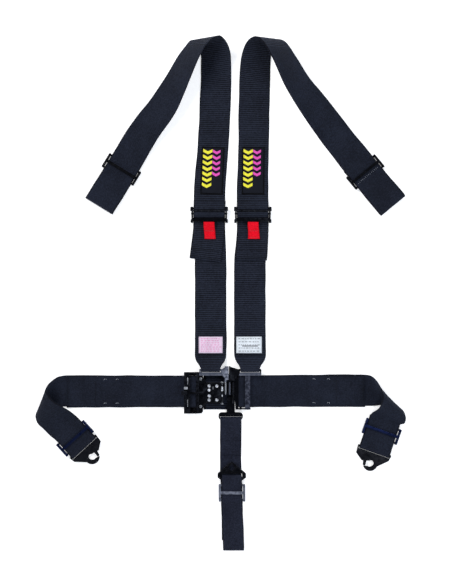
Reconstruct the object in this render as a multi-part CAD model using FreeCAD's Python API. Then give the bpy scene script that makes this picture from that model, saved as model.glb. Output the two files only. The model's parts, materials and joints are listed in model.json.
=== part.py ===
"""Five point latch and link racing harness, laid out flat on its back.

Millimetres. +Z is up, away from the floor that the harness lies on, +Y runs from the buckle towards
the shoulder straps' harness bar, and +X runs towards the link side of the lap belt. The origin is on
the floor, below the middle of the laid out harness.
"""

import FreeCAD, Part
import math
import os

V = FreeCAD.Vector
UP = V(0, 0, 1)

# ---- driving dimensions ------------------------------------------------------------------------
WEB = 1.6  # thickness of all webbing
WIDE = 76.2  # lap and shoulder webbing, 3 inch
NARROW = 50.8  # sub strap webbing, 2 inch
TONGUE_STRAP = 46.0  # width that a shoulder strap is folded to at its tongue
FLOOR_LAYER = WEB / 2  # height of the middle of a layer that lies on the floor
BAR_LOOP = 4.5  # radius of webbing round a flat 5.5 x 3 bar, at the webbing's middle
LOAD_LOOP = 5.4  # radius of webbing round a knurled load bar
LOAD_BAR = 2.8  # radius of a knurled load bar
STEEL = 3.0  # thickness of the stamped plates
RIVET = 2.0  # radius of the rivets' shanks
RIVET_HOLE = 2.05

# the buckle: the link's finger lies along X and carries the three tongues
FINGER_Y = -226.0
FINGER_Z = 10.0
FINGER_WIDTH = 20.0
FINGER_THICK = 4.0
FINGER_LEFT = -17.5
LATCH_Y = -236.5
PIN_X = 2.0
PIN_Z = 16.5
PIN_RADIUS = 2.0
RIVET_X = -50.0
LEG_THICK = 4.0
TONGUE_Z = 16.5  # middle of the shoulder tongues' strap plates
SUB_TONGUE_Z = 5.3

# the lap belt's load bars, left in the latch and right in the link
LATCH_BAR_X = -64.0
LINK_BAR_X = 47.0
LAP_BAR_Z = 6.2
LEFT_LAP_Y = -234.0
RIGHT_LAP_Y = -233.0
LINK_Y = -234.0
LINK_HALF = 41.5  # from the middle of the link to the middle of its side walls

# the shoulder straps: middle of the lower strap, of the adjuster, and of the tail's hem
SHOULDERS = {
    "left": {"lower": -25.5, "adjuster": -29.0, "tail": -38.8, "tilt": -7.0, "leg": 10.5, "upper": -28.5},
    "right": {"lower": 69.5, "adjuster": 76.5, "tail": 73.6, "tilt": -1.5, "leg": 20.5, "upper": 76.0},
}
SUB_LEG_X = 29.0
LOAD_BAR_Y = 197.0
LOAD_BAR_Z = 6.2
UPPER_BAR_Y = 209.5
UPPER_BAR_Z = 5.3
PULL_BAR_Y = 172.9
PULL_BAR_Z = 9.5
TONGUE_BAR_Y = -181.0
TAIL_Y = 84.5
TAIL_Z = 4.4  # the tail's hem stands up a little
LOWER_LAYER_STEP_Y = -95.0

# the sub strap
SUB_X = 23.0
SUB_BAR_Y = -300.0
SUB_FRONT_X = 26.0
SUB_FOLD_X = 30.0
SUB_BOTTOM_Y = -615.5
SUB_SLIDE_Y = -478.7
BRACKET_X = 25.7
BOLT_Y = -418.5
BOLT_HOLE = 6.75  # radius of the anchor bracket's hole for a 1/2 inch bolt

# where each belt's own slide sits, the way its strap runs there, and how far on its end is
SHOULDER_ENDS = {
    "left": {"slide": (-241.6, 304.0), "heading": -121.5, "loop": 104.0},
    "right": {"slide": (348.7, 297.7), "heading": -50.5, "loop": 106.0},
}
LAP_ENDS = {
    "left": {"slide": (-353.8, -347.0), "heading": -47.5, "hole": 61.0},
    "right": {"slide": (388.5, -330.0), "heading": -109.5, "hole": 83.0},
}
SLIDE_LENGTH = 39.0
SLIDE_WALL = 5.5
SLIDE_UPPER_Z = 5.9  # the strap's upper layer inside a slide
HARNESS_BAR_LOOP = 6.5  # radius of the loops that go round the car's harness bar
HOOK_BAR = 32.5  # from the middle of the hook's eye to its strap bar
EYE_LENGTH = 17.0
EYE_WIDTH = 13.5
GATE_RIVET = (-17.5, 16.0)  # along the hook from its eye, and to the side that its throat opens

# Pairs of opposite edge points down the loosely folded stretches. The first point of a pair is on
# the outer edge after the fold, and the raised edge is the one that opens the fold.
SHOULDER_FOLDS = {
    "left": [
        ((-57, 363, 0.8), (18, 363, 0.8)),
        ((-51, 486, 0.8), (24, 486, 0.8)),
        ((-49, 532, 0.8), (25, 540, 5)),
        ((-49, 569, 2), (24, 574, 18)),
        ((-51, 595, 3.5), (18, 599, 36)),
        ((-56, 612, 7), (8, 613, 48)),
        ((-62, 617, 11), (-3, 619, 57)),
        ((-73, 615, 14), (-19, 612, 63)),
        ((-86, 601, 15), (-36, 595, 66)),
        ((-100, 583, 14.5), (-49, 572, 64)),
        ((-131, 533, 11), (-73, 518, 52)),
        ((-171, 474, 8), (-106, 445, 33)),
        ((-223, 407, 6.5), (-163, 363, 14)),
    ],
    "right": [
        ((115, 348, 0.8), (41, 348, 0.8)),
        ((118, 491, 0.8), (43, 491, 0.8)),
        ((119, 532, 0.8), (45, 540, 5)),
        ((120, 569, 2), (48, 570, 18)),
        ((123, 595, 3.5), (56, 597, 36)),
        ((131, 612, 7), (68, 613, 48)),
        ((141, 618, 11), (81, 617, 57)),
        ((153, 613, 14), (93, 611, 63)),
        ((166, 598, 15), (107, 594, 65)),
        ((180, 577, 14.5), (121, 568, 62)),
        ((210, 530, 11), (148, 511, 48)),
        ((245, 489, 8), (185, 450, 30)),
        ((296, 424, 6.5), (237, 378, 13)),
    ],
}
LAP_FOLDS = {
    "left": [
        ((-318, -270.5, 0.8), (-318, -194.5, 0.8)),
        ((-371, -270.5, 0.8), (-371, -194.5, 0.8)),
        ((-400, -272, 1), (-393, -197, 8)),
        ((-423, -276, 2), (-408, -207, 26)),
        ((-438, -278, 4), (-417, -219, 43)),
        ((-446, -283, 7), (-420, -230, 53)),
        ((-449, -293, 10), (-414, -238, 54)),
        ((-446, -307, 11), (-403, -252, 48)),
        ((-428, -326, 10), (-382, -268, 30)),
        ((-412, -342, 7.5), (-365, -281, 13)),
    ],
    "right": [
        ((287, -269, 0.8), (287, -193, 0.8)),
        ((338, -269, 0.8), (338, -193, 0.8)),
        ((367, -269, 1), (361, -195, 8)),
        ((394, -267, 2), (374, -206, 27)),
        ((418, -268, 4), (380, -218, 43)),
        ((435, -275, 7), (384, -230, 49)),
        ((444, -287, 10), (386, -244, 48)),
        ((446.5, -299, 11), (385, -259, 37)),
        ((443, -311, 9), (380, -273, 22)),
    ],
}

PARTS = {}


# ---- small helpers -----------------------------------------------------------------------------
def along(heading):
    """Unit vector in the floor's plane at a heading in degrees from +X."""
    return V(math.cos(math.radians(heading)), math.sin(math.radians(heading)), 0)


def block(x0, x1, y0, y1, z0, z1):
    return Part.makeBox(x1 - x0, y1 - y0, z1 - z0, V(x0, y0, z0))


def middle_block(x, y, z, length, width, height):
    return Part.makeBox(length, width, height, V(x - length / 2, y - width / 2, z - height / 2))


def rod(radius, x, y, z, length, direction):
    """A round bar of that length whose middle is at x, y, z."""
    start = V(x, y, z) - direction * (length / 2)
    return Part.makeCylinder(radius, length, start, direction)


def prism(outline, z0, z1):
    points = [V(x, y, z0) for x, y in outline]
    face = Part.Face(Part.makePolygon(points + points[:1]))
    return face.extrude(V(0, 0, z1 - z0))


def rounded(shape, radius, chosen=None):
    """Rounds the upright edges of a plate, or those that chosen(x, y) picks."""
    edges = []
    for edge in shape.Edges:
        if len(edge.Vertexes) < 2:
            continue
        a, b = edge.Vertexes[0].Point, edge.Vertexes[-1].Point
        upright = abs(a.x - b.x) < 1e-6 and abs(a.y - b.y) < 1e-6
        if upright and (chosen is None or chosen(a.x, a.y)):
            edges.append(edge)
    return shape.makeFillet(radius, edges)


def obround(x, y, length, width, z0, z1, turn=0):
    """A slot cutter with round ends, length along X before the turn."""
    straight = length - width
    cutter = middle_block(0, 0, (z0 + z1) / 2, straight, width, z1 - z0)
    for end in (-straight / 2, straight / 2):
        cutter = cutter.fuse(Part.makeCylinder(width / 2, z1 - z0, V(end, 0, z0)))
    cutter.rotate(V(0, 0, 0), UP, turn)
    cutter.translate(V(x, y, 0))
    return cutter


def placed(shape, x, y, heading):
    """Turns a shape made along +X to a heading, then moves it to x, y."""
    moved = shape.copy()
    moved.rotate(V(0, 0, 0), UP, heading)
    moved.translate(V(x, y, 0))
    return moved


def keep(name, shape):
    PARTS[name] = shape


# ---- webbing -----------------------------------------------------------------------------------
def level(x, y, z, across, width):
    """A pair of edge points of webbing whose middle is at x, y, z."""
    middle = V(x, y, z)
    return (middle - across * (width / 2), middle + across * (width / 2))


def hairpin(x, y, z, radius, outward, across, width, from_top=True, steps=6):
    """Edge pairs round a turn about a bar at x, y, z, whose bend points outward."""
    pairs = []
    for i in range(steps + 1):
        angle = math.pi * (0.5 - i / steps)
        if not from_top:
            angle = -angle
        reach = outward * (radius * math.cos(angle))
        pairs.append(level(x + reach.x, y + reach.y, z + radius * math.sin(angle), across, width))
    return pairs


def edge_pairs(rows):
    return [(V(*a), V(*b)) for a, b in rows]


def cross_sections(pairs, thickness):
    """Rectangular cross-sections of webbing whose middle surface runs through pairs of edge points."""
    middles = [(a + b) * 0.5 for a, b in pairs]
    sections = []
    for i, (a, b) in enumerate(pairs):
        tangent = middles[min(i + 1, len(pairs) - 1)] - middles[max(i - 1, 0)]
        normal = (b - a).cross(tangent).normalize() * (thickness / 2)
        sections.append([a + normal, b + normal, b - normal, a - normal])
    return sections


def strip(sections):
    """A closed strip of webbing through its cross-sections."""
    faces = []
    for section in (sections[0], sections[-1]):
        faces.append(Part.Face(Part.makePolygon(section + section[:1])))
    for near, far in zip(sections, sections[1:]):
        for i in range(4):
            j = (i + 1) % 4
            sides = (Part.makeLine(near[i], near[j]), Part.makeLine(far[i], far[j]))
            faces.append(Part.makeRuledSurface(*sides))
    shell = Part.makeShell(faces)
    shell.sewShape()
    solid = Part.makeSolid(shell)
    if solid.Volume < 0:
        solid.reverse()
    return solid


def ribbon(pairs, thickness=WEB):
    return strip(cross_sections(pairs, thickness))


def lower_shoulder(side):
    """Lower shoulder webbing, from its hemmed tail round the load bar down to the tongue."""
    spot = SHOULDERS[side]
    across = V(1, 0, 0)
    up = V(0, 1, 0)
    lower, middle = spot["lower"], spot["adjuster"]
    pairs = [
        level(spot["tail"], TAIL_Y, TAIL_Z, along(spot["tilt"]), WIDE),
        level(middle, 172, 3.0, across, WIDE),
        level(middle, 184, 4.6, across, WIDE),
    ]
    pairs += hairpin(middle, LOAD_BAR_Y, LOAD_BAR_Z, LOAD_LOOP, up, across, WIDE)
    pairs += [
        level(middle, 178, FLOOR_LAYER, across, WIDE),
        level(lower, 70, FLOOR_LAYER, across, WIDE),
        level(lower, LOWER_LAYER_STEP_Y + 10, FLOOR_LAYER, across, WIDE),
        level(lower, LOWER_LAYER_STEP_Y, 3.0, across, WIDE),
        level(lower, -146, 3.4, across, WIDE),
        level(lower, -158, 8.6, across, WIDE - 6),
        level(lower, -172, 17.4, across, TONGUE_STRAP + 6),
    ]
    down = V(0, -1, 0)
    pairs += hairpin(lower, TONGUE_BAR_Y, TONGUE_Z, BAR_LOOP, down, across, TONGUE_STRAP)
    pairs += [
        level(lower, -170, 9.0, across, TONGUE_STRAP),
        level(lower, -152, 3.6, across, TONGUE_STRAP + 12),
        level(lower, -140, FLOOR_LAYER, across, WIDE - 8),
        level(lower, -105, FLOOR_LAYER, across, WIDE - 2),
    ]
    keep(side + "_lower_shoulder_webbing", ribbon(pairs))


def upper_shoulder(side):
    """Upper shoulder webbing: round the adjuster, up, folded over, through its slide, end loop.

    It is one length of webbing in two solids, which share the cross-section before the end loop.
    """
    spot, end = SHOULDERS[side], SHOULDER_ENDS[side]
    folds = edge_pairs(SHOULDER_FOLDS[side])
    across = (folds[0][1] - folds[0][0]).normalize()
    middle = spot["upper"]
    down = V(0, -1, 0)
    pairs = [
        level(middle, 228, FLOOR_LAYER, across, WIDE),
        level(middle, 215, FLOOR_LAYER, across, WIDE),
    ]
    pairs += hairpin(middle, UPPER_BAR_Y, UPPER_BAR_Z, BAR_LOOP, down, across, WIDE, from_top=False)
    pairs += [
        level(middle, 222, 4.8, across, WIDE),
        level(middle, 236, FLOOR_LAYER, across, WIDE),
    ]
    pairs += folds
    heading = along(end["heading"])
    side_way = V(-heading.y, heading.x, 0)
    if side == "right":
        side_way = side_way * -1
    x, y = end["slide"]

    def station(distance, z, width=WIDE):
        return level(x + heading.x * distance, y + heading.y * distance, z, side_way, width)

    loop_z = FLOOR_LAYER + HARNESS_BAR_LOOP
    turn = end["loop"] - HARNESS_BAR_LOOP
    pairs += [
        station(-36, SLIDE_UPPER_Z + 0.4),
        station(22, SLIDE_UPPER_Z),
        station(50, 8.6),
        station(turn - 16, 12.6),
    ]
    seam = len(pairs) - 2
    centre = V(x, y, 0) + heading * turn
    pairs += hairpin(centre.x, centre.y, loop_z, HARNESS_BAR_LOOP, heading, side_way, WIDE)
    pairs += [station(40, FLOOR_LAYER), station(-34, FLOOR_LAYER)]
    sections = cross_sections(pairs, WEB)
    keep(side + "_upper_shoulder_webbing", strip(sections[:seam + 1]))
    keep(side + "_bar_loop_webbing", strip(sections[seam:]))


def lap(side):
    """Lap webbing: hemmed tail, round the load bar, out, folded over, slide, snap hook."""
    end = LAP_ENDS[side]
    folds = edge_pairs(LAP_FOLDS[side])
    across = (folds[0][1] - folds[0][0]).normalize()
    bar_x = LATCH_BAR_X if side == "left" else LINK_BAR_X
    out = -1 if side == "left" else 1
    middle = LEFT_LAP_Y if side == "left" else RIGHT_LAP_Y
    tail_x = -375.0 if side == "left" else 349.0
    inward = V(-out, 0, 0)
    pairs = [
        level(tail_x, middle - 0.5, 3.0, across, WIDE),
        level(bar_x + out * 46, middle, 3.0, across, WIDE),
        level(bar_x + out * 13, middle, 8.2, across, WIDE),
    ]
    pairs += hairpin(bar_x, middle, LAP_BAR_Z, LOAD_LOOP, inward, across, WIDE)
    pairs += [level(bar_x + out * 24, middle, FLOOR_LAYER, across, WIDE)]
    pairs += folds
    heading = along(end["heading"])
    side_way = V(-heading.y, heading.x, 0)
    if side == "right":
        side_way = side_way * -1
    x, y = end["slide"]

    def station(distance, z):
        return level(x + heading.x * distance, y + heading.y * distance, z, side_way, WIDE)

    bar = end["hole"] - HOOK_BAR
    loop_z = FLOOR_LAYER + BAR_LOOP
    pairs += [
        station(-31, SLIDE_UPPER_Z + 0.1),
        station(20, SLIDE_UPPER_Z),
        station(bar - 3, loop_z + BAR_LOOP - 0.6),
    ]
    centre = V(x, y, 0) + heading * bar
    pairs += hairpin(centre.x, centre.y, loop_z, BAR_LOOP, heading, side_way, WIDE)
    pairs += [station(bar - 12, FLOOR_LAYER), station(-29, FLOOR_LAYER)]
    keep(side + "_lap_webbing", ribbon(pairs))


def sub_strap():
    """Sub strap: tongue loop, down behind, folded up in front, through slide and bracket, tail."""
    across = V(1, 0, 0)
    up = V(0, 1, 0)
    down = V(0, -1, 0)
    pairs = [
        level(SUB_X, -388, 3.0, across, NARROW),
        level(SUB_X, -315, 3.6, across, NARROW),
        level(SUB_X, -306, 8.4, across, NARROW),
    ]
    pairs += hairpin(SUB_X, SUB_BAR_Y, SUB_TONGUE_Z, BAR_LOOP, up, across, NARROW)
    pairs += [
        level(SUB_X, -330, FLOOR_LAYER, across, NARROW),
        level(SUB_X, -400, FLOOR_LAYER, across, NARROW),
        level(SUB_X + 2, -500, FLOOR_LAYER, across, NARROW),
    ]
    fold_z = FLOOR_LAYER + 3.1
    pairs += hairpin(SUB_FOLD_X, SUB_BOTTOM_Y, fold_z, 3.1, down, across, NARROW, from_top=False)
    pairs += [
        level(SUB_FRONT_X, -506, 8.0, across, NARROW),
        level(SUB_FRONT_X, -456, 8.4, across, NARROW - 4),
        level(SUB_FRONT_X, -446, 8.8, across, NARROW - 4),
    ]
    pairs += hairpin(SUB_FRONT_X, -439.5, 5.8, 2.8, up, across, NARROW - 4)
    pairs += [
        level(SUB_FRONT_X, -460, 3.0, across, NARROW),
        level(SUB_FOLD_X - 3, -594, 3.0, across, NARROW),
    ]
    keep("sub_strap_webbing", ribbon(pairs))


# ---- shoulder hardware -------------------------------------------------------------------------
def slide_frame(opening, length, low, bar_low, top):
    """Three bar slide along +X: two low outer bars, a raised centre bar and two end walls."""
    half = opening / 2
    walls = []
    for sign in (-1, 1):
        y = sign * (half + SLIDE_WALL / 2)
        wall = middle_block(0, y, (low + top) / 2, length, SLIDE_WALL, top - low)
        walls.append(rounded(wall, 1.5))
    frame = walls[0].fuse(walls[1])
    for x in (-length / 2 + 3, length / 2 - 3):
        frame = frame.fuse(block(x - 2.5, x + 2.5, -half - 1, half + 1, low, low + 2.5))
    centre = block(-3.5, 3.5, -half - 1, half + 1, bar_low, top)
    return frame.fuse(centre).removeSplitter()


def wide_slide():
    low = WEB + 0.5
    return slide_frame(WIDE + 3, SLIDE_LENGTH, low, SLIDE_UPPER_Z + WEB / 2 + 0.5, SLIDE_UPPER_Z + 4.3)


def shoulder_slide(side):
    end = SHOULDER_ENDS[side]
    x, y = end["slide"]
    keep(side + "_shoulder_slide", placed(wide_slide(), x, y, end["heading"]))


def adjuster_frame(side):
    """Tilt lock frame: upper, stop and lower bars, its pull lug, and bent up ears with notches."""
    x = SHOULDERS[side]["adjuster"]
    half = 39.1
    frame = None
    for sign in (-1, 1):
        ear_x = x + sign * (half + 2.05)
        ear = block(ear_x - 2.05, ear_x + 2.05, 174.5, 213.5, 1.0, 12.5)
        notch_low = block(ear_x - 3, ear_x + 3, 187.5, 191.5, 9.0, 13.0)
        slot = block(ear_x - 3, ear_x + 3, 192.0, 200.8, 3.0, 9.4)
        ear = ear.cut(notch_low).cut(slot)
        frame = ear if frame is None else frame.fuse(ear)
        tab = block(min(ear_x, ear_x + sign * 4.5), max(ear_x, ear_x + sign * 4.5), 203, 213.5, 10, 12.5)
        foot = block(min(ear_x, ear_x + sign * 4.0), max(ear_x, ear_x + sign * 4.0), 174.5, 183, 10, 12.5)
        frame = frame.fuse(tab).fuse(foot)
    upper = block(x - half - 1, x + half + 1, UPPER_BAR_Y - 2.75, UPPER_BAR_Y + 2.75, 3.8, 6.8)
    stop = block(x - half - 1, x + half + 1, 202.0, 205.6, 11.0, 13.0)
    lower = block(x - half - 1, x + half + 1, 177.5, 186.5, 8.0, 11.0)
    lug_outline = [(x - 20, 178), (x - 17, 171.2), (x + 17, 171.2), (x + 20, 178)]
    lug = rounded(prism(lug_outline, 8.0, 11.0), 2.0, lambda px, py: py < 175)
    tab_slot = block(x - 14.5, x + 14.5, 174.6, 179.8, 7.0, 12.0)
    frame = frame.fuse(upper).fuse(stop).fuse(lower).fuse(lug).cut(tab_slot)
    keep(side + "_adjuster_frame", frame.removeSplitter())


def adjuster_bar(side):
    """Knurled load bar that slides in the frame's slots, with a flattened guide at each end."""
    x = SHOULDERS[side]["adjuster"]
    bar = rod(LOAD_BAR, x, LOAD_BAR_Y, LOAD_BAR_Z, 77.4, V(1, 0, 0))
    guides = rod(2.2, x, LOAD_BAR_Y, LOAD_BAR_Z, 88.0, V(1, 0, 0))
    keep(side + "_adjuster_load_bar", bar.fuse(guides).removeSplitter())


def pull_tab(side):
    """Red webbing tab, looped through the lug's slot and stitched to itself."""
    x = SHOULDERS[side]["adjuster"] - 0.5 if side == "left" else SHOULDERS[side]["adjuster"] + 1.0
    across = V(1, 0, 0)
    up = V(0, 1, 0)
    width = 26.0
    skew = 2.0
    thick = 1.4
    pairs = [
        level(x + skew, 135.8, 7.5, across, width),
        level(x + skew / 2, 156, 8.2, across, width),
        level(x, 166.5, 12.3, across, width),
    ]
    pairs += hairpin(x, PULL_BAR_Y, PULL_BAR_Z, 3.4, up, across, width)
    pairs += [
        level(x, 166.0, 6.0, across, width),
        level(x + skew / 2, 156, 5.5, across, width),
        level(x + skew, 135.8, 5.7, across, width),
    ]
    keep(side + "_pull_tab", ribbon(pairs, thick))


def patch(side):
    """Embroidered patch, left blank of words, sewn on the upper shoulder webbing."""
    x = -21.5 if side == "left" else 77.6
    outline = middle_block(0, 0, 0, 55.0, 115.5, 1.0)
    shape = rounded(outline, 1.5)
    turn = -2.2 if side == "left" else -0.6
    keep(side + "_patch", placed_at(shape, x, 301.5, WEB + 0.55, turn))


def label(side):
    """Blank woven label sewn on the lower shoulder webbing."""
    x = SHOULDERS[side]["lower"] if side == "left" else SHOULDERS[side]["lower"] - 2.0
    width = 58.0 if side == "left" else 62.0
    shape = middle_block(0, 0, 0, width, 40.0, 0.4)
    keep(side + "_label", placed_at(shape, x, -121.0, 4.65, 0))


def placed_at(shape, x, y, z, turn):
    moved = shape.copy()
    moved.rotate(V(0, 0, 0), UP, turn)
    moved.translate(V(x, y, z))
    return moved


def finger_eye(x):
    """Upright leg that the link's finger passes through, its window cut for a few degrees of tilt."""
    leg = block(x - LEG_THICK / 2, x + LEG_THICK / 2, FINGER_Y - 15.5, FINGER_Y + 15.5, 2.8, 17.5)
    window = block(x - 5, x + 5, FINGER_Y - 11.5, FINGER_Y + 11.5, FINGER_Z - 3.5, FINGER_Z + 3.5)
    return leg.cut(window)


def shoulder_tongue(side):
    """Shoulder tongue: strap slot plate, turned up on edge into a leg that slips on the finger."""
    x, leg_x = SHOULDERS[side]["lower"], SHOULDERS[side]["leg"]
    sign = 1 if leg_x > x else -1
    low, high = TONGUE_Z - STEEL / 2, TONGUE_Z + STEEL / 2
    half = TONGUE_STRAP / 2 + 1.0
    outer = half + 3.5
    plate = block(x - outer, x + outer, -194.5, -178.25, low, high)
    plate = plate.cut(block(x - half, x + half, -186.75, -183.75, low - 1, high + 1))
    plate = rounded(plate, 2.5, lambda px, py: abs(px - x) > outer - 0.5)
    near = x + sign * (outer - 1)
    far = leg_x + sign * LEG_THICK / 2
    arm = prism([(near, -179.5), (far, -172.0), (far, -204.0), (near, -193.5)], low, high)
    neck = block(leg_x - LEG_THICK / 2, leg_x + LEG_THICK / 2, FINGER_Y + 15.0, -172.0, 9.0, high)
    if side == "left":
        shelf = block(leg_x, 17.7, -205.0, -172.0, low, high)
    else:
        shelf = block(leg_x, 33.0, -207.0, -176.0, low, high)
    tongue = plate.fuse(arm).fuse(neck).fuse(shelf).fuse(finger_eye(leg_x))
    keep(side + "_shoulder_tongue", tongue.removeSplitter())


# ---- buckle ------------------------------------------------------------------------------------
def link():
    """Link plate: the finger that carries the tongues, its window for the catch, and the strap end."""
    low, high = FINGER_Z - FINGER_THICK / 2, FINGER_Z + FINGER_THICK / 2
    half = FINGER_WIDTH / 2
    outline = [
        (FINGER_LEFT, FINGER_Y - half),
        (31.5, FINGER_Y - half),
        (34.5, LINK_Y - LINK_HALF),
        (38.5, LINK_Y - LINK_HALF),
        (38.5, LINK_Y + LINK_HALF),
        (33.0, LINK_Y + LINK_HALF),
        (31.5, FINGER_Y + half),
        (FINGER_LEFT, FINGER_Y + half),
    ]
    plate = prism(outline, low, high)
    catch_window = block(-13.5, -3.0, FINGER_Y - 5.5, FINGER_Y + 5.5, low - 1, high + 1)
    plate = plate.cut(catch_window)
    plate = rounded(plate, 3.0, lambda px, py: px < FINGER_LEFT + 0.5)
    for sign in (-1, 1):
        y = LINK_Y + sign * LINK_HALF
        wall = block(34.5, 71.0, y - 1.5, y + 1.5, 1.0, 12.0)
        slot = block(LINK_BAR_X - 2.6, LINK_BAR_X + 4.6, y - 2, y + 2, 3.6, 8.8)
        plate = plate.fuse(wall.cut(slot))
        cap = block(57.5, 71.0, y - 1.5, y + 1.5, 11.5, 14.5)
        plate = plate.fuse(cap)
    outer_bar = block(57.5, 70.0, LINK_Y - LINK_HALF, LINK_Y + LINK_HALF, 12.0, 14.5)
    inner_lip = block(36.0, 41.4, LINK_Y - LINK_HALF, LINK_Y + LINK_HALF, 10.2, 12.0)
    keep("link_plate", plate.fuse(outer_bar).fuse(inner_lip).removeSplitter())
    bar = rod(LOAD_BAR, LINK_BAR_X, LINK_Y, LAP_BAR_Z, 79.2, V(0, 1, 0))
    guides = rod(2.2, LINK_BAR_X, LINK_Y, LAP_BAR_Z, 87.5, V(0, 1, 0))
    keep("link_load_bar", bar.fuse(guides).removeSplitter())


def latch_frame():
    """Adjuster end of the latch: two side walls, a slotted outer bar and the riveted inner bar."""
    half = 46.0
    frame = None
    for sign in (-1, 1):
        y = LATCH_Y + sign * (half + 2)
        wall = block(-88.5, -60.0, y - 2, y + 2, 1.0, 15.5)
        wall = wall.fuse(block(-62.0, -55.0, y - 2, y + 2, 1.0, 13.6))
        wall = wall.fuse(block(-60.0, -46.5, y - 2, y + 2, 1.0, 9.5))
        strap_edge = LEFT_LAP_Y + sign * (WIDE / 2 + 0.5)
        near, far = sorted((strap_edge, y))
        wall = wall.fuse(block(-88.5, -54.2, near, far, 1.0, 2.3))
        slot = block(LATCH_BAR_X - 4.6, LATCH_BAR_X + 2.6, y - 3, y + 3, 3.6, 8.8)
        wall = wall.cut(slot)
        frame = wall if frame is None else frame.fuse(wall)
    outer = block(-90.0, -75.0, LATCH_Y - half - 4, LATCH_Y + half + 4, 14.0, 16.5)
    for y in (LATCH_Y + 29.0, LATCH_Y - 25.0):
        outer = outer.cut(obround(-81.0, y, 18.0, 3.0, 13.0, 18.0, 90))
    inner = block(-56.0, -44.0, LATCH_Y - half - 1, LATCH_Y + half + 1, 5.2, 7.7)
    for y in (LATCH_Y + 33.5, LATCH_Y - 33.5):
        inner = inner.cut(Part.makeCylinder(RIVET_HOLE, 10, V(RIVET_X, y, 0)))
    lip = block(-60.6, -54.6, LATCH_Y - half - 1, LATCH_Y + half + 1, 11.8, 13.6)
    keep("latch_frame", frame.fuse(outer).fuse(inner).fuse(lip).removeSplitter())
    bar = rod(LOAD_BAR, LATCH_BAR_X, LATCH_Y, LAP_BAR_Z, 90.0, V(0, 1, 0))
    guides = rod(2.2, LATCH_BAR_X, LATCH_Y, LAP_BAR_Z, 99.0, V(0, 1, 0))
    keep("latch_load_bar", bar.fuse(guides).removeSplitter())


def latch_base():
    """Base plate riveted under the frame's inner bar, with two cheeks that hold the hinge pin."""
    outline = [
        (-56.0, LATCH_Y - 41),
        (-46.0, LATCH_Y - 41),
        (-36.0, LATCH_Y - 25),
        (5.0, LATCH_Y - 25),
        (5.0, LATCH_Y + 25),
        (-36.0, LATCH_Y + 25),
        (-46.0, LATCH_Y + 41),
        (-56.0, LATCH_Y + 41),
    ]
    base = prism(outline, 2.6, 5.0)
    for y in (LATCH_Y + 33.5, LATCH_Y - 33.5):
        base = base.cut(Part.makeCylinder(RIVET_HOLE, 10, V(RIVET_X, y, 0)))
    for sign in (-1, 1):
        y = LATCH_Y + sign * 23.75
        cheek = block(-36.0, 5.0, y - 1.25, y + 1.25, 4.0, 13.5)
        ear = block(-4.0, 5.6, y - 1.25, y + 1.25, 4.0, 20.4)
        base = base.fuse(cheek).fuse(ear)
    pin_hole = rod(PIN_RADIUS, PIN_X, LATCH_Y, PIN_Z, 80.0, V(0, 1, 0))
    base = base.cut(pin_hole)
    keep("latch_base", base.removeSplitter())


def latch_rivets():
    """Two rivets that join the base plate to the frame, each with a domed head and a closed tail."""
    rivets = []
    for y in (LATCH_Y + 33.5, LATCH_Y - 33.5):
        shank = Part.makeCylinder(RIVET, 5.9, V(RIVET_X, y, 2.2))
        head = Part.makeCylinder(3.6, 1.6, V(RIVET_X, y, 7.75))
        head = head.makeFillet(0.9, [e for e in head.Edges if abs(e.BoundBox.ZMin - 9.35) < 0.01][:1])
        tail = Part.makeCylinder(3.0, 0.45, V(RIVET_X, y, 2.1))
        rivets.append(shank.fuse(head).fuse(tail).removeSplitter())
    keep("latch_rivets", Part.makeCompound(rivets))


def hinge_pin():
    """Lever hinge pin with a flat head at one end and a closed end at the other."""
    pin = rod(PIN_RADIUS, PIN_X, LATCH_Y, PIN_Z, 52.4, V(0, 1, 0))
    heads = []
    for sign in (-1, 1):
        heads.append(rod(3.2, PIN_X, LATCH_Y + sign * 25.9, PIN_Z, 1.6, V(0, 1, 0)))
    keep("lever_hinge_pin", pin.fuse(heads[0]).fuse(heads[1]).removeSplitter())


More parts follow.
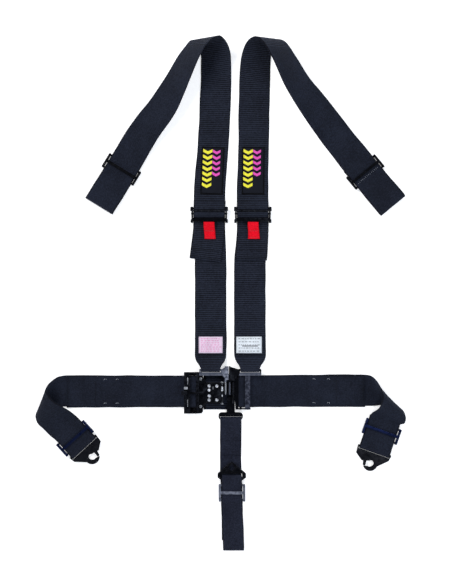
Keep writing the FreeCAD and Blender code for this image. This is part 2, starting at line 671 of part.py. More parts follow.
def release_lever():
    """Release lever: pierced cover plate on its hinge knuckles, with a finger arm over the frame."""
    half = 21.5
    low, high = 17.6, 20.0
    outline = [
        (-44.0, LATCH_Y - 13),
        (-36.0, LATCH_Y - half),
        (0.0, LATCH_Y - half),
        (0.0, LATCH_Y + half),
        (-36.0, LATCH_Y + half),
        (-44.0, LATCH_Y + 13),
    ]
    plate = rounded(prism(outline, low, high), 2.0, lambda px, py: px < -30)
    for x in (-29.0, -10.5):
        for y in (LATCH_Y - 17.0, LATCH_Y + 17.0):
            plate = plate.cut(Part.makeCylinder(2.7, 10, V(x, y, 15)))
    for y in (LATCH_Y - 7.0, LATCH_Y + 7.0):
        plate = plate.cut(Part.makeCylinder(2.7, 10, V(-29.0, y, 15)))
    plate = plate.cut(obround(-19.5, LATCH_Y + 17.0, 17.5, 3.2, 15, 25, 90))
    plate = plate.cut(obround(-19.5, LATCH_Y - 12.5, 19.5, 3.2, 15, 25, 90))
    arm = block(-92.0, -40.0, LATCH_Y - 3.2, LATCH_Y + 3.2, low, high)
    knob = rounded(middle_block(-89.0, LATCH_Y, 19.4, 14.0, 9.0, 3.6), 2.0)
    lever = plate.fuse(arm).fuse(knob)
    for y0, y1 in ((-21.5, -9.0), (-4.0, 4.0), (16.0, 21.5)):
        knuckle = Part.makeCylinder(3.5, y1 - y0, V(PIN_X, LATCH_Y + y0, PIN_Z), V(0, 1, 0))
        web = block(-4.0, PIN_X, LATCH_Y + y0, LATCH_Y + y1, 17.6, 20.0)
        lever = lever.fuse(knuckle).fuse(web)
    gaps = []
    for y0, y1 in ((-9.0, -4.0), (4.0, 16.0)):
        gaps.append(block(-3.2, 3.0, LATCH_Y + y0, LATCH_Y + y1, 12, 22))
    for gap in gaps:
        lever = lever.cut(gap)
    bore = rod(PIN_RADIUS + 0.05, PIN_X, LATCH_Y, PIN_Z, 60, V(0, 1, 0))
    keep("release_lever", lever.cut(bore).removeSplitter())


def lever_catch():
    """Catch spot welded under the lever, its nose dropped into the finger's window."""
    pad = block(-22.0, -8.0, FINGER_Y - 4.5, FINGER_Y + 4.5, 15.4, 17.6)
    nose = block(-11.0, -8.0, FINGER_Y - 4.5, FINGER_Y + 4.5, 8.8, 17.6)
    keep("lever_catch", pad.fuse(nose).removeSplitter())


def lever_spring():
    """Torsion spring on the hinge pin, drawn as its closed coils and one straight leg."""
    coils = None
    for i in range(5):
        y = LATCH_Y + 5.3 + i * 2.2
        ring = Part.makeTorus(2.9, 0.6, V(PIN_X, y, PIN_Z), V(0, 1, 0))
        coils = ring if coils is None else coils.fuse(ring)
    sleeve = Part.makeCylinder(3.1, 9.6, V(PIN_X, LATCH_Y + 4.9, PIN_Z), V(0, 1, 0))
    sleeve = sleeve.cut(Part.makeCylinder(2.5, 12, V(PIN_X, LATCH_Y + 4.0, PIN_Z), V(0, 1, 0)))
    keep("lever_spring", coils.fuse(sleeve).removeSplitter())


def buckle_pad():
    """Webbing pad under the buckle, between the hardware and the driver."""
    outline = [(-43.0, -278.0), (12.0, -276.0), (33.0, -262.0), (33.0, -191.5), (-43.0, -191.5)]
    keep("buckle_pad", rounded(prism(outline, 0.0, 1.1), 2.0))


# ---- sub strap hardware ------------------------------------------------------------------------
def sub_tongue():
    """Sub strap tongue: strap slot with round ends, neck, and a leg that slips on the finger."""
    low, high = SUB_TONGUE_Z - 1.5, SUB_TONGUE_Z + 1.5
    plate = rounded(block(SUB_X - 29.5, SUB_X + 29.5, -302.75, -284.0, low, high), 8.0)
    slot = block(SUB_X - 26.0, SUB_X + 26.0, -297.25, -294.3, low - 1, high + 1)
    neck_outline = [(12.5, -285), (14.5, -262), (14.5, -247), (31.0, -247), (31.0, -262), (33.5, -285)]
    neck = prism(neck_outline, low, high)
    leg_neck = block(SUB_LEG_X - 2, SUB_LEG_X + 2, -262.0, FINGER_Y - 15.0, 2.8, 12.0)
    tongue = plate.cut(slot).fuse(neck).fuse(leg_neck).fuse(finger_eye(SUB_LEG_X))
    keep("sub_tongue", tongue.removeSplitter())


def anchor_bracket():
    """Sub strap anchor: rounded triangle with its bolt slot and a strap slot."""
    outline = [
        (BRACKET_X, -403.0),
        (BRACKET_X + 34.5, -432.0),
        (BRACKET_X + 34.5, -442.0),
        (BRACKET_X + 24.0, -450.5),
        (BRACKET_X - 24.0, -450.5),
        (BRACKET_X - 34.5, -442.0),
        (BRACKET_X - 34.5, -432.0),
    ]
    plate = rounded(prism(outline, 4.3, 7.3), 6.0, lambda px, py: py > -440)
    plate = plate.cut(Part.makeCylinder(BOLT_HOLE, 12, V(BRACKET_X, BOLT_Y, 0)))
    plate = plate.cut(block(BRACKET_X - 25.0, BRACKET_X + 25.0, -441.2, -432.5, 0, 12))
    keep("sub_anchor_bracket", plate)


def sub_slide():
    frame = slide_frame(NARROW + 2.4, 42.0, 4.2, 9.4, 11.9)
    keep("sub_slide", placed(frame, SUB_FRONT_X, SUB_SLIDE_Y, -90))


# ---- lap hardware ------------------------------------------------------------------------------
def lap_slide(side):
    end = LAP_ENDS[side]
    x, y = end["slide"]
    keep(side + "_lap_slide", placed(wide_slide(), x, y, end["heading"]))


def hook_place(side):
    """The middle of the hook's eye and its heading."""
    end = LAP_ENDS[side]
    heading = along(end["heading"])
    x, y = end["slide"]
    return x + heading.x * end["hole"], y + heading.y * end["hole"], end["heading"]


def snap_hook(side):
    """Snap hook plate: strap slot, tapered body, and a hook whose throat the gate closes."""
    low, high = FLOOR_LAYER + BAR_LOOP - 1.5, FLOOR_LAYER + BAR_LOOP + 1.5
    wing = 43.0
    outline = [
        (-35.25, -wing),
        (-20.0, -wing + 3),
        (4.0, -15.5),
        (4.0, 15.5),
        (-14.0, wing - 2),
        (-35.25, wing),
    ]
    body = rounded(prism(outline, low, high), 2.5, lambda px, py: px < -10)
    body = body.fuse(Part.makeCylinder(18.0, STEEL, V(0, 0, low)))
    body = body.cut(block(-29.75, -26.7, -39.2, 39.2, 0, 12))
    body = body.cut(obround(0, 0, EYE_LENGTH, EYE_WIDTH, 0, 12, 40))
    throat = block(-6.5, 6.5, 0, 24, 0, 12)
    throat.rotate(V(0, 0, 0), UP, -14)
    body = body.cut(throat)
    body = body.cut(Part.makeCylinder(RIVET_HOLE, 12, V(*GATE_RIVET, 0)))
    if side == "left":
        flipped = body
    else:
        flipped = body.mirror(V(0, 0, 0), V(0, 1, 0))
    x, y, heading = hook_place(side)
    keep(side + "_snap_hook", placed(flipped.removeSplitter(), x, y, heading))


def snap_gate(side):
    """Flat spring gate on the hook's upper face, hinged on its rivet across the throat."""
    low = FLOOR_LAYER + BAR_LOOP + 1.5 + 0.35
    outline = [(-22.0, 12.5), (-12.5, 11.5), (9.0, 10.0), (9.0, 16.5), (-11.5, 21.0), (-20.0, 20.5)]
    gate = rounded(prism(outline, low, low + 1.2), 1.5)
    gate = gate.cut(Part.makeCylinder(RIVET_HOLE, 12, V(*GATE_RIVET, 0)))
    bottom = FLOOR_LAYER + BAR_LOOP - 2.05
    rivet = Part.makeCylinder(RIVET, low + 2.0 - bottom, V(*GATE_RIVET, bottom))
    head = Part.makeCylinder(3.6, 1.2, V(*GATE_RIVET, low + 1.25))
    tail = Part.makeCylinder(3.2, 0.5, V(*GATE_RIVET, bottom))
    stud = rivet.fuse(head).fuse(tail).removeSplitter()
    if side == "right":
        gate = gate.mirror(V(0, 0, 0), V(0, 1, 0))
        stud = stud.mirror(V(0, 0, 0), V(0, 1, 0))
    x, y, heading = hook_place(side)
    keep(side + "_snap_gate", placed(gate, x, y, heading))
    keep(side + "_gate_rivet", placed(stud, x, y, heading))


# ---- the whole harness -------------------------------------------------------------------------
def build():
    for side in ("left", "right"):
        lower_shoulder(side)
        upper_shoulder(side)
        lap(side)
        shoulder_slide(side)
        adjuster_frame(side)
        adjuster_bar(side)
        pull_tab(side)
        patch(side)
        label(side)
        shoulder_tongue(side)
        lap_slide(side)
        snap_hook(side)
        snap_gate(side)
    sub_strap()
    sub_tongue()
    anchor_bracket()
    sub_slide()
    link()
    latch_frame()
    latch_base()
    latch_rivets()
    hinge_pin()
    release_lever()
    lever_catch()
    lever_spring()
    buckle_pad()


def export():
    os.makedirs("parts", exist_ok=True)
    for name, shape in PARTS.items():
        shape.exportStep(os.path.join("parts", name + ".step"))
        state = "valid" if shape.isValid() else "NOT VALID"
        print(name, state, len(shape.Solids), "solid", round(shape.Volume), "mm3")


build()
export()
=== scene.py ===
"""Looks of a five point latch and link racing harness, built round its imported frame.

Routes are in millimetres in the frame's axes, as in the part's source, and become metres when a mesh
is made. +Z is up from the floor, +Y runs to the shoulder straps' wrap ends, +X to the link side.
"""
import json
import math
import random

import bmesh
import bpy
import numpy as np
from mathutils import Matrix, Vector


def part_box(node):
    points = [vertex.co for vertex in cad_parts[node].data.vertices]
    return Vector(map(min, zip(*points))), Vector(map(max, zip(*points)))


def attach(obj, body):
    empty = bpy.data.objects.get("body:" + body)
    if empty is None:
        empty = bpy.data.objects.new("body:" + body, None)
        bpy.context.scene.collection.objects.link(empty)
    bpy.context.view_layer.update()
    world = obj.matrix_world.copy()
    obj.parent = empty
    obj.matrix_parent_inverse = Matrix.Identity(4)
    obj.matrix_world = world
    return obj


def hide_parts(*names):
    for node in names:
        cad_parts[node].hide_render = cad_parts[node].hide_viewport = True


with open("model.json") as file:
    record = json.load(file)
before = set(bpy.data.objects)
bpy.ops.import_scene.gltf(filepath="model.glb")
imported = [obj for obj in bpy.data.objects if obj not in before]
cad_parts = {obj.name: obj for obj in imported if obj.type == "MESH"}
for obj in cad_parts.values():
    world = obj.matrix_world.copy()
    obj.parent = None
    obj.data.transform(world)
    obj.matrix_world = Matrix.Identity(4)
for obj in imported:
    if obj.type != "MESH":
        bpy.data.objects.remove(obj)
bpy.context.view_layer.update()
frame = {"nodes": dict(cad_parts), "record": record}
random.seed(7)
noise_source = np.random.default_rng(7)

MM = 0.001
BODY_OF = {node: body for body, nodes in frame["record"]["behaviour"]["bodies"].items() for node in nodes}
X_AXIS = np.array((1.0, 0.0, 0.0))
Y_AXIS = np.array((0.0, 1.0, 0.0))

# ---- sizes shared with the part ----------------------------------------------------------------
WEB = 1.6  # thickness of the webbing
WIDE = 76.2  # 3 inch webbing
NARROW = 50.8  # 2 inch webbing
TONGUE_STRAP = 46.0  # shoulder webbing where it is gathered into its tongue
TAB_WIDTH = 26.0  # the red pull tabs
TAB_THICK = 1.4
FLOOR_LAYER = WEB / 2
BAR_LOOP = 4.5
LOAD_LOOP = 5.4
LATCH_BAR_X = -64.0
LINK_BAR_X = 47.0
LAP_BAR_Z = 6.2
TONGUE_Z = 16.5
SUB_TONGUE_Z = 5.3
SHOULDERS = {
    "left": {"lower": -25.5, "adjuster": -29.0, "tail": -38.8, "tilt": -7.0, "upper": -28.5},
    "right": {"lower": 69.5, "adjuster": 76.5, "tail": 73.6, "tilt": -1.5, "upper": 76.0},
}
LOAD_BAR_Y = 197.0
LOAD_BAR_Z = 6.2
UPPER_BAR_Y = 209.5
UPPER_BAR_Z = 5.3
PULL_BAR_Y = 172.9
PULL_BAR_Z = 9.5
TONGUE_BAR_Y = -181.0
TAIL_Y = 84.5
TAIL_Z = 4.4
LOWER_LAYER_STEP_Y = -95.0
SUB_X = 23.0
SUB_BAR_Y = -300.0
SUB_FRONT_X = 26.0
SUB_FOLD_X = 30.0
SUB_BOTTOM_Y = -615.5
SHOULDER_ENDS = {
    "left": {"slide": (-241.6, 304.0), "heading": -121.5, "loop": 104.0},
    "right": {"slide": (348.7, 297.7), "heading": -50.5, "loop": 106.0},
}
LAP_ENDS = {
    "left": {"slide": (-353.8, -347.0), "heading": -47.5, "hole": 61.0, "middle": -234.0, "tail": -375.0},
    "right": {"slide": (388.5, -330.0), "heading": -109.5, "hole": 83.0, "middle": -233.0, "tail": 349.0},
}
SLIDE_UPPER_Z = 5.9
HARNESS_BAR_LOOP = 6.5
HOOK_BAR = 32.5

# Pairs of opposite edge points down the loosely folded stretches.
SHOULDER_FOLDS = {
    "left": [
        ((-57, 363, 0.8), (18, 363, 0.8)),
        ((-51, 486, 0.8), (24, 486, 0.8)),
        ((-49, 532, 0.8), (25, 540, 5)),
        ((-49, 569, 2), (24, 574, 18)),
        ((-51, 595, 3.5), (18, 599, 36)),
        ((-56, 612, 7), (8, 613, 48)),
        ((-62, 617, 11), (-3, 619, 57)),
        ((-73, 615, 14), (-19, 612, 63)),
        ((-86, 601, 15), (-36, 595, 66)),
        ((-100, 583, 14.5), (-49, 572, 64)),
        ((-131, 533, 11), (-73, 518, 52)),
        ((-171, 474, 8), (-106, 445, 33)),
        ((-223, 407, 6.5), (-163, 363, 14)),
    ],
    "right": [
        ((115, 348, 0.8), (41, 348, 0.8)),
        ((118, 491, 0.8), (43, 491, 0.8)),
        ((119, 532, 0.8), (45, 540, 5)),
        ((120, 569, 2), (48, 570, 18)),
        ((123, 595, 3.5), (56, 597, 36)),
        ((131, 612, 7), (68, 613, 48)),
        ((141, 618, 11), (81, 617, 57)),
        ((153, 613, 14), (93, 611, 63)),
        ((166, 598, 15), (107, 594, 65)),
        ((180, 577, 14.5), (121, 568, 62)),
        ((210, 530, 11), (148, 511, 48)),
        ((245, 489, 8), (185, 450, 30)),
        ((296, 424, 6.5), (237, 378, 13)),
    ],
}
LAP_FOLDS = {
    "left": [
        ((-318, -270.5, 0.8), (-318, -194.5, 0.8)),
        ((-371, -270.5, 0.8), (-371, -194.5, 0.8)),
        ((-400, -272, 1), (-393, -197, 8)),
        ((-423, -276, 2), (-408, -207, 26)),
        ((-438, -278, 4), (-417, -219, 43)),
        ((-446, -283, 7), (-420, -230, 53)),
        ((-449, -293, 10), (-414, -238, 54)),
        ((-446, -307, 11), (-403, -252, 48)),
        ((-428, -326, 10), (-382, -268, 30)),
        ((-412, -342, 7.5), (-365, -281, 13)),
    ],
    "right": [
        ((287, -269, 0.8), (287, -193, 0.8)),
        ((338, -269, 0.8), (338, -193, 0.8)),
        ((367, -269, 1), (361, -195, 8)),
        ((394, -267, 2), (374, -206, 27)),
        ((418, -268, 4), (380, -218, 43)),
        ((435, -275, 7), (384, -230, 49)),
        ((444, -287, 10), (386, -244, 48)),
        ((446.5, -299, 11), (385, -259, 37)),
        ((443, -311, 9), (380, -273, 22)),
    ],
}


# ---- materials ---------------------------------------------------------------------------------
class Shader:
    """A node material with one principled shader, and short ways to add nodes to it."""

    def __init__(self, name, color, roughness, **sockets):
        self.material = bpy.data.materials.new(name)
        self.material.use_nodes = True
        self.nodes = self.material.node_tree.nodes
        self.links = self.material.node_tree.links
        self.surface = self.nodes["Principled BSDF"]
        self.surface.inputs["Base Color"].default_value = (*color, 1.0)
        self.surface.inputs["Roughness"].default_value = roughness
        for socket, value in sockets.items():
            self.surface.inputs[socket.replace("_", " ")].default_value = value

    def node(self, kind, **values):
        made = self.nodes.new(kind)
        for key, value in values.items():
            setattr(made, key, value)
        return made

    def feed(self, value, socket):
        if hasattr(value, "bl_idname") or hasattr(value, "is_output"):
            self.links.new(value, socket)
        else:
            socket.default_value = value

    def math(self, operation, first, second=0.0):
        made = self.node("ShaderNodeMath", operation=operation)
        self.feed(first, made.inputs[0])
        self.feed(second, made.inputs[1])
        return made.outputs[0]

    def noise(self, scale, detail=3.0, where=None):
        made = self.node("ShaderNodeTexNoise")
        made.inputs["Scale"].default_value = scale
        made.inputs["Detail"].default_value = detail
        if where is None:
            where = self.node("ShaderNodeTexCoord").outputs["Object"]
        self.links.new(where, made.inputs["Vector"])
        return made.outputs["Fac"]

    def ramp(self, value, low, high, start=0.0, end=1.0):
        made = self.node("ShaderNodeValToRGB")
        made.color_ramp.elements[0].position = start
        made.color_ramp.elements[0].color = (*low, 1.0)
        made.color_ramp.elements[1].position = end
        made.color_ramp.elements[1].color = (*high, 1.0)
        self.links.new(value, made.inputs[0])
        return made.outputs[0]

    def mix(self, factor, first, second):
        made = self.node("ShaderNodeMix", data_type="RGBA")
        self.feed(factor, made.inputs["Factor"])
        self.feed(first, made.inputs["A"])
        self.feed(second, made.inputs["B"])
        return made.outputs["Result"]

    def bump(self, height, distance, strength=1.0):
        made = self.node("ShaderNodeBump")
        made.inputs["Distance"].default_value = distance
        made.inputs["Strength"].default_value = strength
        self.links.new(height, made.inputs["Height"])
        self.links.new(made.outputs[0], self.surface.inputs["Normal"])

    def color(self, output):
        self.links.new(output, self.surface.inputs["Base Color"])

    def roughness(self, output):
        self.links.new(output, self.surface.inputs["Roughness"])


def between(low, high, factor):
    return tuple(a + (b - a) * factor for a, b in zip(low, high))


def webbing_material(name, dark, light, rib, band_depth, half=WIDE * MM / 2, sheen=0.05):
    """Woven webbing: cross ribs of that pitch in metres, warp columns, and soft bands of wear."""
    shader = Shader(name, light, 0.78, Sheen_Weight=sheen, Sheen_Roughness=0.45, Specular_IOR_Level=0.12)
    shader.surface.inputs["Sheen Tint"].default_value = (0.55, 0.62, 0.85, 1.0)
    split = shader.node("ShaderNodeSeparateXYZ")
    shader.links.new(shader.node("ShaderNodeUVMap").outputs[0], split.inputs[0])
    across, down = split.outputs[0], split.outputs[1]
    wobble = shader.math("MULTIPLY", shader.noise(60.0, 2.0), 0.5)
    rib_turn = shader.math("ADD", shader.math("MULTIPLY", down, 2 * math.pi / rib), wobble)
    ribs = shader.math("SINE", rib_turn)
    row = shader.math("FLOOR", shader.math("MULTIPLY", down, 1.0 / rib))
    column_turn = shader.math("MULTIPLY", across, 2 * math.pi / 0.0019)
    staggered = shader.math("ADD", column_turn, shader.math("MULTIPLY", row, math.pi))
    columns = shader.math("SINE", staggered)
    weave = shader.math("ADD", shader.math("MULTIPLY", ribs, 0.75), shader.math("MULTIPLY", columns, 0.25))
    fuzz = shader.math("SUBTRACT", shader.noise(2200.0, 4.0), 0.5)
    height = shader.math("ADD", weave, shader.math("MULTIPLY", fuzz, 0.6))
    shader.bump(height, 0.00035, 0.9)
    tone = shader.math("ADD", shader.math("MULTIPLY", ribs, 0.5 * band_depth), 0.5)
    wear = shader.math("MULTIPLY", shader.math("SUBTRACT", shader.noise(14.0, 5.0), 0.5), 0.8)
    tone = shader.math("ADD", tone, wear)
    flecks = shader.math("MULTIPLY", shader.math("SUBTRACT", shader.noise(330.0, 3.0), 0.5), 1.5)
    tone = shader.math("ADD", tone, flecks)
    edge = shader.math("SUBTRACT", shader.math("ABSOLUTE", across), half - 0.0026)
    selvage = shader.math("MAXIMUM", shader.math("MULTIPLY", edge, 260.0), 0.0)
    tone = shader.math("SUBTRACT", tone, selvage)
    shader.color(shader.ramp(tone, dark, light, 0.1, 0.95))
    rough = shader.math("ADD", shader.math("MULTIPLY", shader.noise(90.0), 0.15), 0.68)
    shader.roughness(rough)
    return shader.material


def thread_material(name, color, pitch=0.0007, sheen=0.3, specular=0.45):
    """Twisted thread or satin stitch, with fine slanted strands."""
    shader = Shader(name, color, 0.5, Sheen_Weight=sheen, Specular_IOR_Level=specular)
    wave = shader.node("ShaderNodeTexWave", bands_direction="DIAGONAL")
    wave.inputs["Scale"].default_value = 0.314 / pitch
    wave.inputs["Distortion"].default_value = 1.5
    shader.links.new(shader.node("ShaderNodeTexCoord").outputs["Object"], wave.inputs["Vector"])
    shader.bump(wave.outputs["Fac"], 0.0002, 0.7)
    shade = tuple(c * 0.62 for c in color)
    shader.color(shader.ramp(wave.outputs["Fac"], shade, color, 0.0, 0.7))
    return shader.material


def metal_material(name, color, worn, roughness, metallic=0.0, coat=0.0, wear=0.35, specular=0.4):
    """Coated or bare steel: small dents and scuffs, and rubbed edges."""
    shader = Shader(name, color, roughness, Metallic=metallic, Coat_Weight=coat, Coat_Roughness=0.12)
    shader.surface.inputs["Specular IOR Level"].default_value = specular
    scuffs = shader.noise(140.0, 8.0)
    edge = shader.node("ShaderNodeNewGeometry").outputs["Pointiness"]
    rubbed = shader.ramp(edge, (0, 0, 0), (1, 1, 1), 0.52, 0.6)
    patchy = shader.math("MULTIPLY", rubbed, shader.ramp(scuffs, (0, 0, 0), (1, 1, 1), 0.35, 0.6))
    scratch = shader.ramp(shader.noise(900.0, 2.0), (0, 0, 0), (0.25, 0.25, 0.25), 0.62, 0.75)
    amount = shader.math("MULTIPLY", shader.math("MAXIMUM", patchy, scratch), wear)
    shader.color(shader.mix(amount, (*color, 1.0), (*worn, 1.0)))
    spread = shader.math("ADD", shader.math("MULTIPLY", scuffs, 0.22), roughness - 0.1)
    shader.roughness(spread)
    grain = shader.math("ADD", scuffs, shader.math("MULTIPLY", shader.noise(1800.0, 2.0), 0.4))
    shader.bump(grain, 0.00012, 0.5)
    return shader.material


def cloth_material(name, color, scale, sheen=0.2, specular=0.5):
    """Fine twill or satin of a patch or a label."""
    shader = Shader(name, color, 0.7, Sheen_Weight=sheen, Specular_IOR_Level=specular)
    wave = shader.node("ShaderNodeTexWave", bands_direction="DIAGONAL")
    wave.inputs["Scale"].default_value = scale
    shader.links.new(shader.node("ShaderNodeTexCoord").outputs["Object"], wave.inputs["Vector"])
    shader.bump(wave.outputs["Fac"], 0.00015, 0.6)
    stained = shader.math("MULTIPLY", shader.noise(70.0, 4.0), 1.0)
    shader.color(shader.ramp(stained, tuple(c * 0.86 for c in color), color, 0.3, 0.6))
    return shader.material


NAVY = (0.0012, 0.0016, 0.0042)
NAVY_LIGHT = (0.0185, 0.0235, 0.0400)
WEBBING = webbing_material("ribbed_webbing", NAVY, NAVY_LIGHT, 0.0046, 0.9)
SMOOTH_WEBBING = webbing_material(
    "fine_webbing", (0.0016, 0.0022, 0.0055), (0.0150, 0.0195, 0.0350), 0.0026, 0.7
)
SUB_WEBBING = webbing_material(
    "sub_webbing", (0.0018, 0.0024, 0.0075), (0.0210, 0.0250, 0.0440), 0.0024, 0.6, half=NARROW * MM / 2
)
RED_WEBBING = webbing_material(
    "red_tab_webbing", (0.62, 0.001, 0.008), (1.0, 0.003, 0.022), 0.0020, 0.7, TAB_WIDTH * MM / 2, 0.0
)
DARK_THREAD = thread_material("dark_thread", (0.0012, 0.0015, 0.0034), 0.0007, 0.0, 0.12)
PALE_THREAD = thread_material("pale_thread", (0.42, 0.45, 0.5))
RED_THREAD = thread_material("red_thread", (0.5, 0.008, 0.02))
BORDER_THREAD = thread_material("border_thread", (0.0008, 0.0010, 0.0020), 0.0007, 0.0, 0.1)
YELLOW_THREAD = thread_material("yellow_thread", (1.0, 0.93, 0.03), 0.0011)
PINK_THREAD = thread_material("pink_thread", (0.92, 0.08, 0.56), 0.0011)
PATCH_CLOTH = cloth_material("patch_twill", (0.0050, 0.0062, 0.0115), 420.0, 0.02, 0.12)
LABEL_CLOTH = {
    "left": cloth_material("pink_label_satin", (0.80, 0.62, 0.76), 520.0),
    "right": cloth_material("white_label_satin", (0.78, 0.83, 0.87), 520.0),
}
PINK_PRINT = cloth_material("pink_print", (0.72, 0.16, 0.42), 520.0)
GREY_PRINT = cloth_material("grey_print", (0.12, 0.12, 0.14), 520.0)
BLACK_STEEL = metal_material(
    "black_steel", (0.0014, 0.0016, 0.0026), (0.05, 0.055, 0.07), 0.24, wear=0.25, specular=0.16
)
BLUE_STEEL = metal_material(
    "blue_black_steel", (0.002, 0.0045, 0.020), (0.012, 0.025, 0.11), 0.28, wear=0.5, specular=0.2
)
CHARCOAL_STEEL = metal_material(
    "charcoal_steel", (0.0030, 0.0036, 0.0055), (0.05, 0.05, 0.06), 0.36, wear=0.25, specular=0.14
)
BRIGHT_STEEL = metal_material("bright_steel", (0.62, 0.64, 0.68), (0.8, 0.8, 0.8), 0.3, metallic=1.0)
# Blue-grey steel with pale streaks, a painted highlight on the link's outer bar.
LINK_HIGHLIGHT_STEEL = metal_material("link_highlight_steel", (0.014, 0.0165, 0.026), (0.12, 0.13, 0.18), 0.26, 0.3, 0.3, 0.5)
# Lighter grey steel with pale streaks, a painted highlight on the tongues' cross bars and on the right
# leg's top.
RIM_HIGHLIGHT_STEEL = metal_material("rim_highlight_steel", (0.060, 0.068, 0.095), (0.42, 0.45, 0.55), 0.3, 0.2, 0.3, 0.6)
GREY_STEEL = metal_material("grey_steel", (0.070, 0.078, 0.105), (0.32, 0.34, 0.42), 0.4, 0.3, 0.3, 0.5)


# ---- webbing routes ----------------------------------------------------------------------------
def along(heading):
    return np.array((math.cos(math.radians(heading)), math.sin(math.radians(heading)), 0.0))


def level(x, y, z, across, width):
    """A pair of edge points of webbing whose middle is at x, y, z."""
    middle = np.array((x, y, z), float)
    return (middle - across * (width / 2), middle + across * (width / 2))


def hairpin(x, y, z, radius, outward, across, width, from_top=True, steps=6):
    """Edge pairs round a turn about a bar at x, y, z, whose bend points outward."""
    pairs = []
    for i in range(steps + 1):
        angle = math.pi * (0.5 - i / steps)
        if not from_top:
            angle = -angle
        reach = outward * (radius * math.cos(angle))
        pairs.append(level(x + reach[0], y + reach[1], z + radius * math.sin(angle), across, width))
    return pairs


def edge_pairs(rows):
    return [(np.array(a, float), np.array(b, float)) for a, b in rows]


class Strap:
    """A smooth strip through pairs of edge points, read at a distance down its middle."""

    def __init__(self, pairs):
        self.left = np.array([a for a, b in pairs])
        self.right = np.array([b for a, b in pairs])
        middle = (self.left + self.right) / 2
        runs = np.linalg.norm(np.diff(middle, axis=0), axis=1)
        self.marks = np.concatenate(([0.0], np.cumsum(runs)))
        self.length = self.marks[-1]
        self.left_slope = self.slopes(self.left)
        self.right_slope = self.slopes(self.right)

    def slopes(self, points):
        """Slopes at the stations that never overshoot between them."""
        gaps = np.diff(self.marks)[:, None]
        rates = np.diff(points, axis=0) / gaps
        found = np.zeros_like(points)
        found[0] = rates[0]
        found[-1] = rates[-1]
        before, after = rates[:-1], rates[1:]
        first = 2 * gaps[1:] + gaps[:-1]
        second = gaps[1:] + 2 * gaps[:-1]
        same = before * after > 0
        safe_before = np.where(same, before, 1.0)
        safe_after = np.where(same, after, 1.0)
        mean = (first + second) / (first / safe_before + second / safe_after)
        found[1:-1] = np.where(same, mean, 0.0)
        return found

    def edges(self, distance):
        """The two edge points at a distance in millimetres from the start."""
        distance = min(max(distance, 0.0), self.length)
        i = int(np.searchsorted(self.marks, distance, side="right")) - 1
        i = min(i, len(self.marks) - 2)
        gap = self.marks[i + 1] - self.marks[i]
        t = (distance - self.marks[i]) / gap
        h00 = 2 * t**3 - 3 * t**2 + 1
        h10 = t**3 - 2 * t**2 + t
        h01 = 3 * t**2 - 2 * t**3
        h11 = t**3 - t**2
        found = []
        for points, slopes in ((self.left, self.left_slope), (self.right, self.right_slope)):
            at = h00 * points[i] + h01 * points[i + 1] + gap * (h10 * slopes[i] + h11 * slopes[i + 1])
            found.append(at)
        return found

    def section(self, distance):
        """Both edge points and the unit normal at a distance."""
        a, b = self.edges(distance)
        a0, b0 = self.edges(distance - 0.4)
        a1, b1 = self.edges(distance + 0.4)
        tangent = (a1 + b1) - (a0 + b0)
        normal = np.cross(b - a, tangent)
        return a, b, normal / np.linalg.norm(normal)

    def spot(self, distance, side, lift=0.0, thickness=WEB):
        """A point on the upward facing surface, side millimetres from the middle line."""
        a, b, normal = self.section(distance)
        if normal[2] < 0:
            normal = -normal
        across = (b - a) / np.linalg.norm(b - a)
        point = (a + b) / 2 + across * side + normal * (thickness / 2 + lift)
        return point, normal

    def stops(self, step=5.0):
        """Distances of the mesh's rows, closer together where the stations are."""
        found = [0.0]
        for start, end in zip(self.marks, self.marks[1:]):
            count = max(2, math.ceil((end - start) / step))
            found += [start + (end - start) * (k + 1) / count for k in range(count)]
        return found


def lower_shoulder_route(side):
    spot = SHOULDERS[side]
    lower, middle = spot["lower"], spot["adjuster"]
    pairs = [
        level(spot["tail"], TAIL_Y, TAIL_Z, along(spot["tilt"]), WIDE),
        level(middle, 172, 3.0, X_AXIS, WIDE),
        level(middle, 184, 4.6, X_AXIS, WIDE),
    ]
    pairs += hairpin(middle, LOAD_BAR_Y, LOAD_BAR_Z, LOAD_LOOP, Y_AXIS, X_AXIS, WIDE)
    pairs += [
        level(middle, 178, FLOOR_LAYER, X_AXIS, WIDE),
        level(lower, 70, FLOOR_LAYER, X_AXIS, WIDE),
        level(lower, LOWER_LAYER_STEP_Y + 10, FLOOR_LAYER, X_AXIS, WIDE),
        level(lower, LOWER_LAYER_STEP_Y, 3.0, X_AXIS, WIDE),
        level(lower, -146, 3.4, X_AXIS, WIDE),
        level(lower, -158, 8.6, X_AXIS, WIDE - 6),
        level(lower, -172, 17.4, X_AXIS, TONGUE_STRAP + 6),
    ]
    pairs += hairpin(lower, TONGUE_BAR_Y, TONGUE_Z, BAR_LOOP, -Y_AXIS, X_AXIS, TONGUE_STRAP)
    pairs += [
        level(lower, -170, 9.0, X_AXIS, TONGUE_STRAP),
        level(lower, -152, 3.6, X_AXIS, TONGUE_STRAP + 12),
        level(lower, -140, FLOOR_LAYER, X_AXIS, WIDE - 8),
        level(lower, -105, FLOOR_LAYER, X_AXIS, WIDE - 2),
    ]
    return pairs


def end_stations(x, y, heading, side_way):
    def station(distance, z):
        return level(x + heading[0] * distance, y + heading[1] * distance, z, side_way, WIDE)

    return station


def side_of(heading, side):
    across = np.array((-heading[1], heading[0], 0.0))
    return -across if side == "right" else across


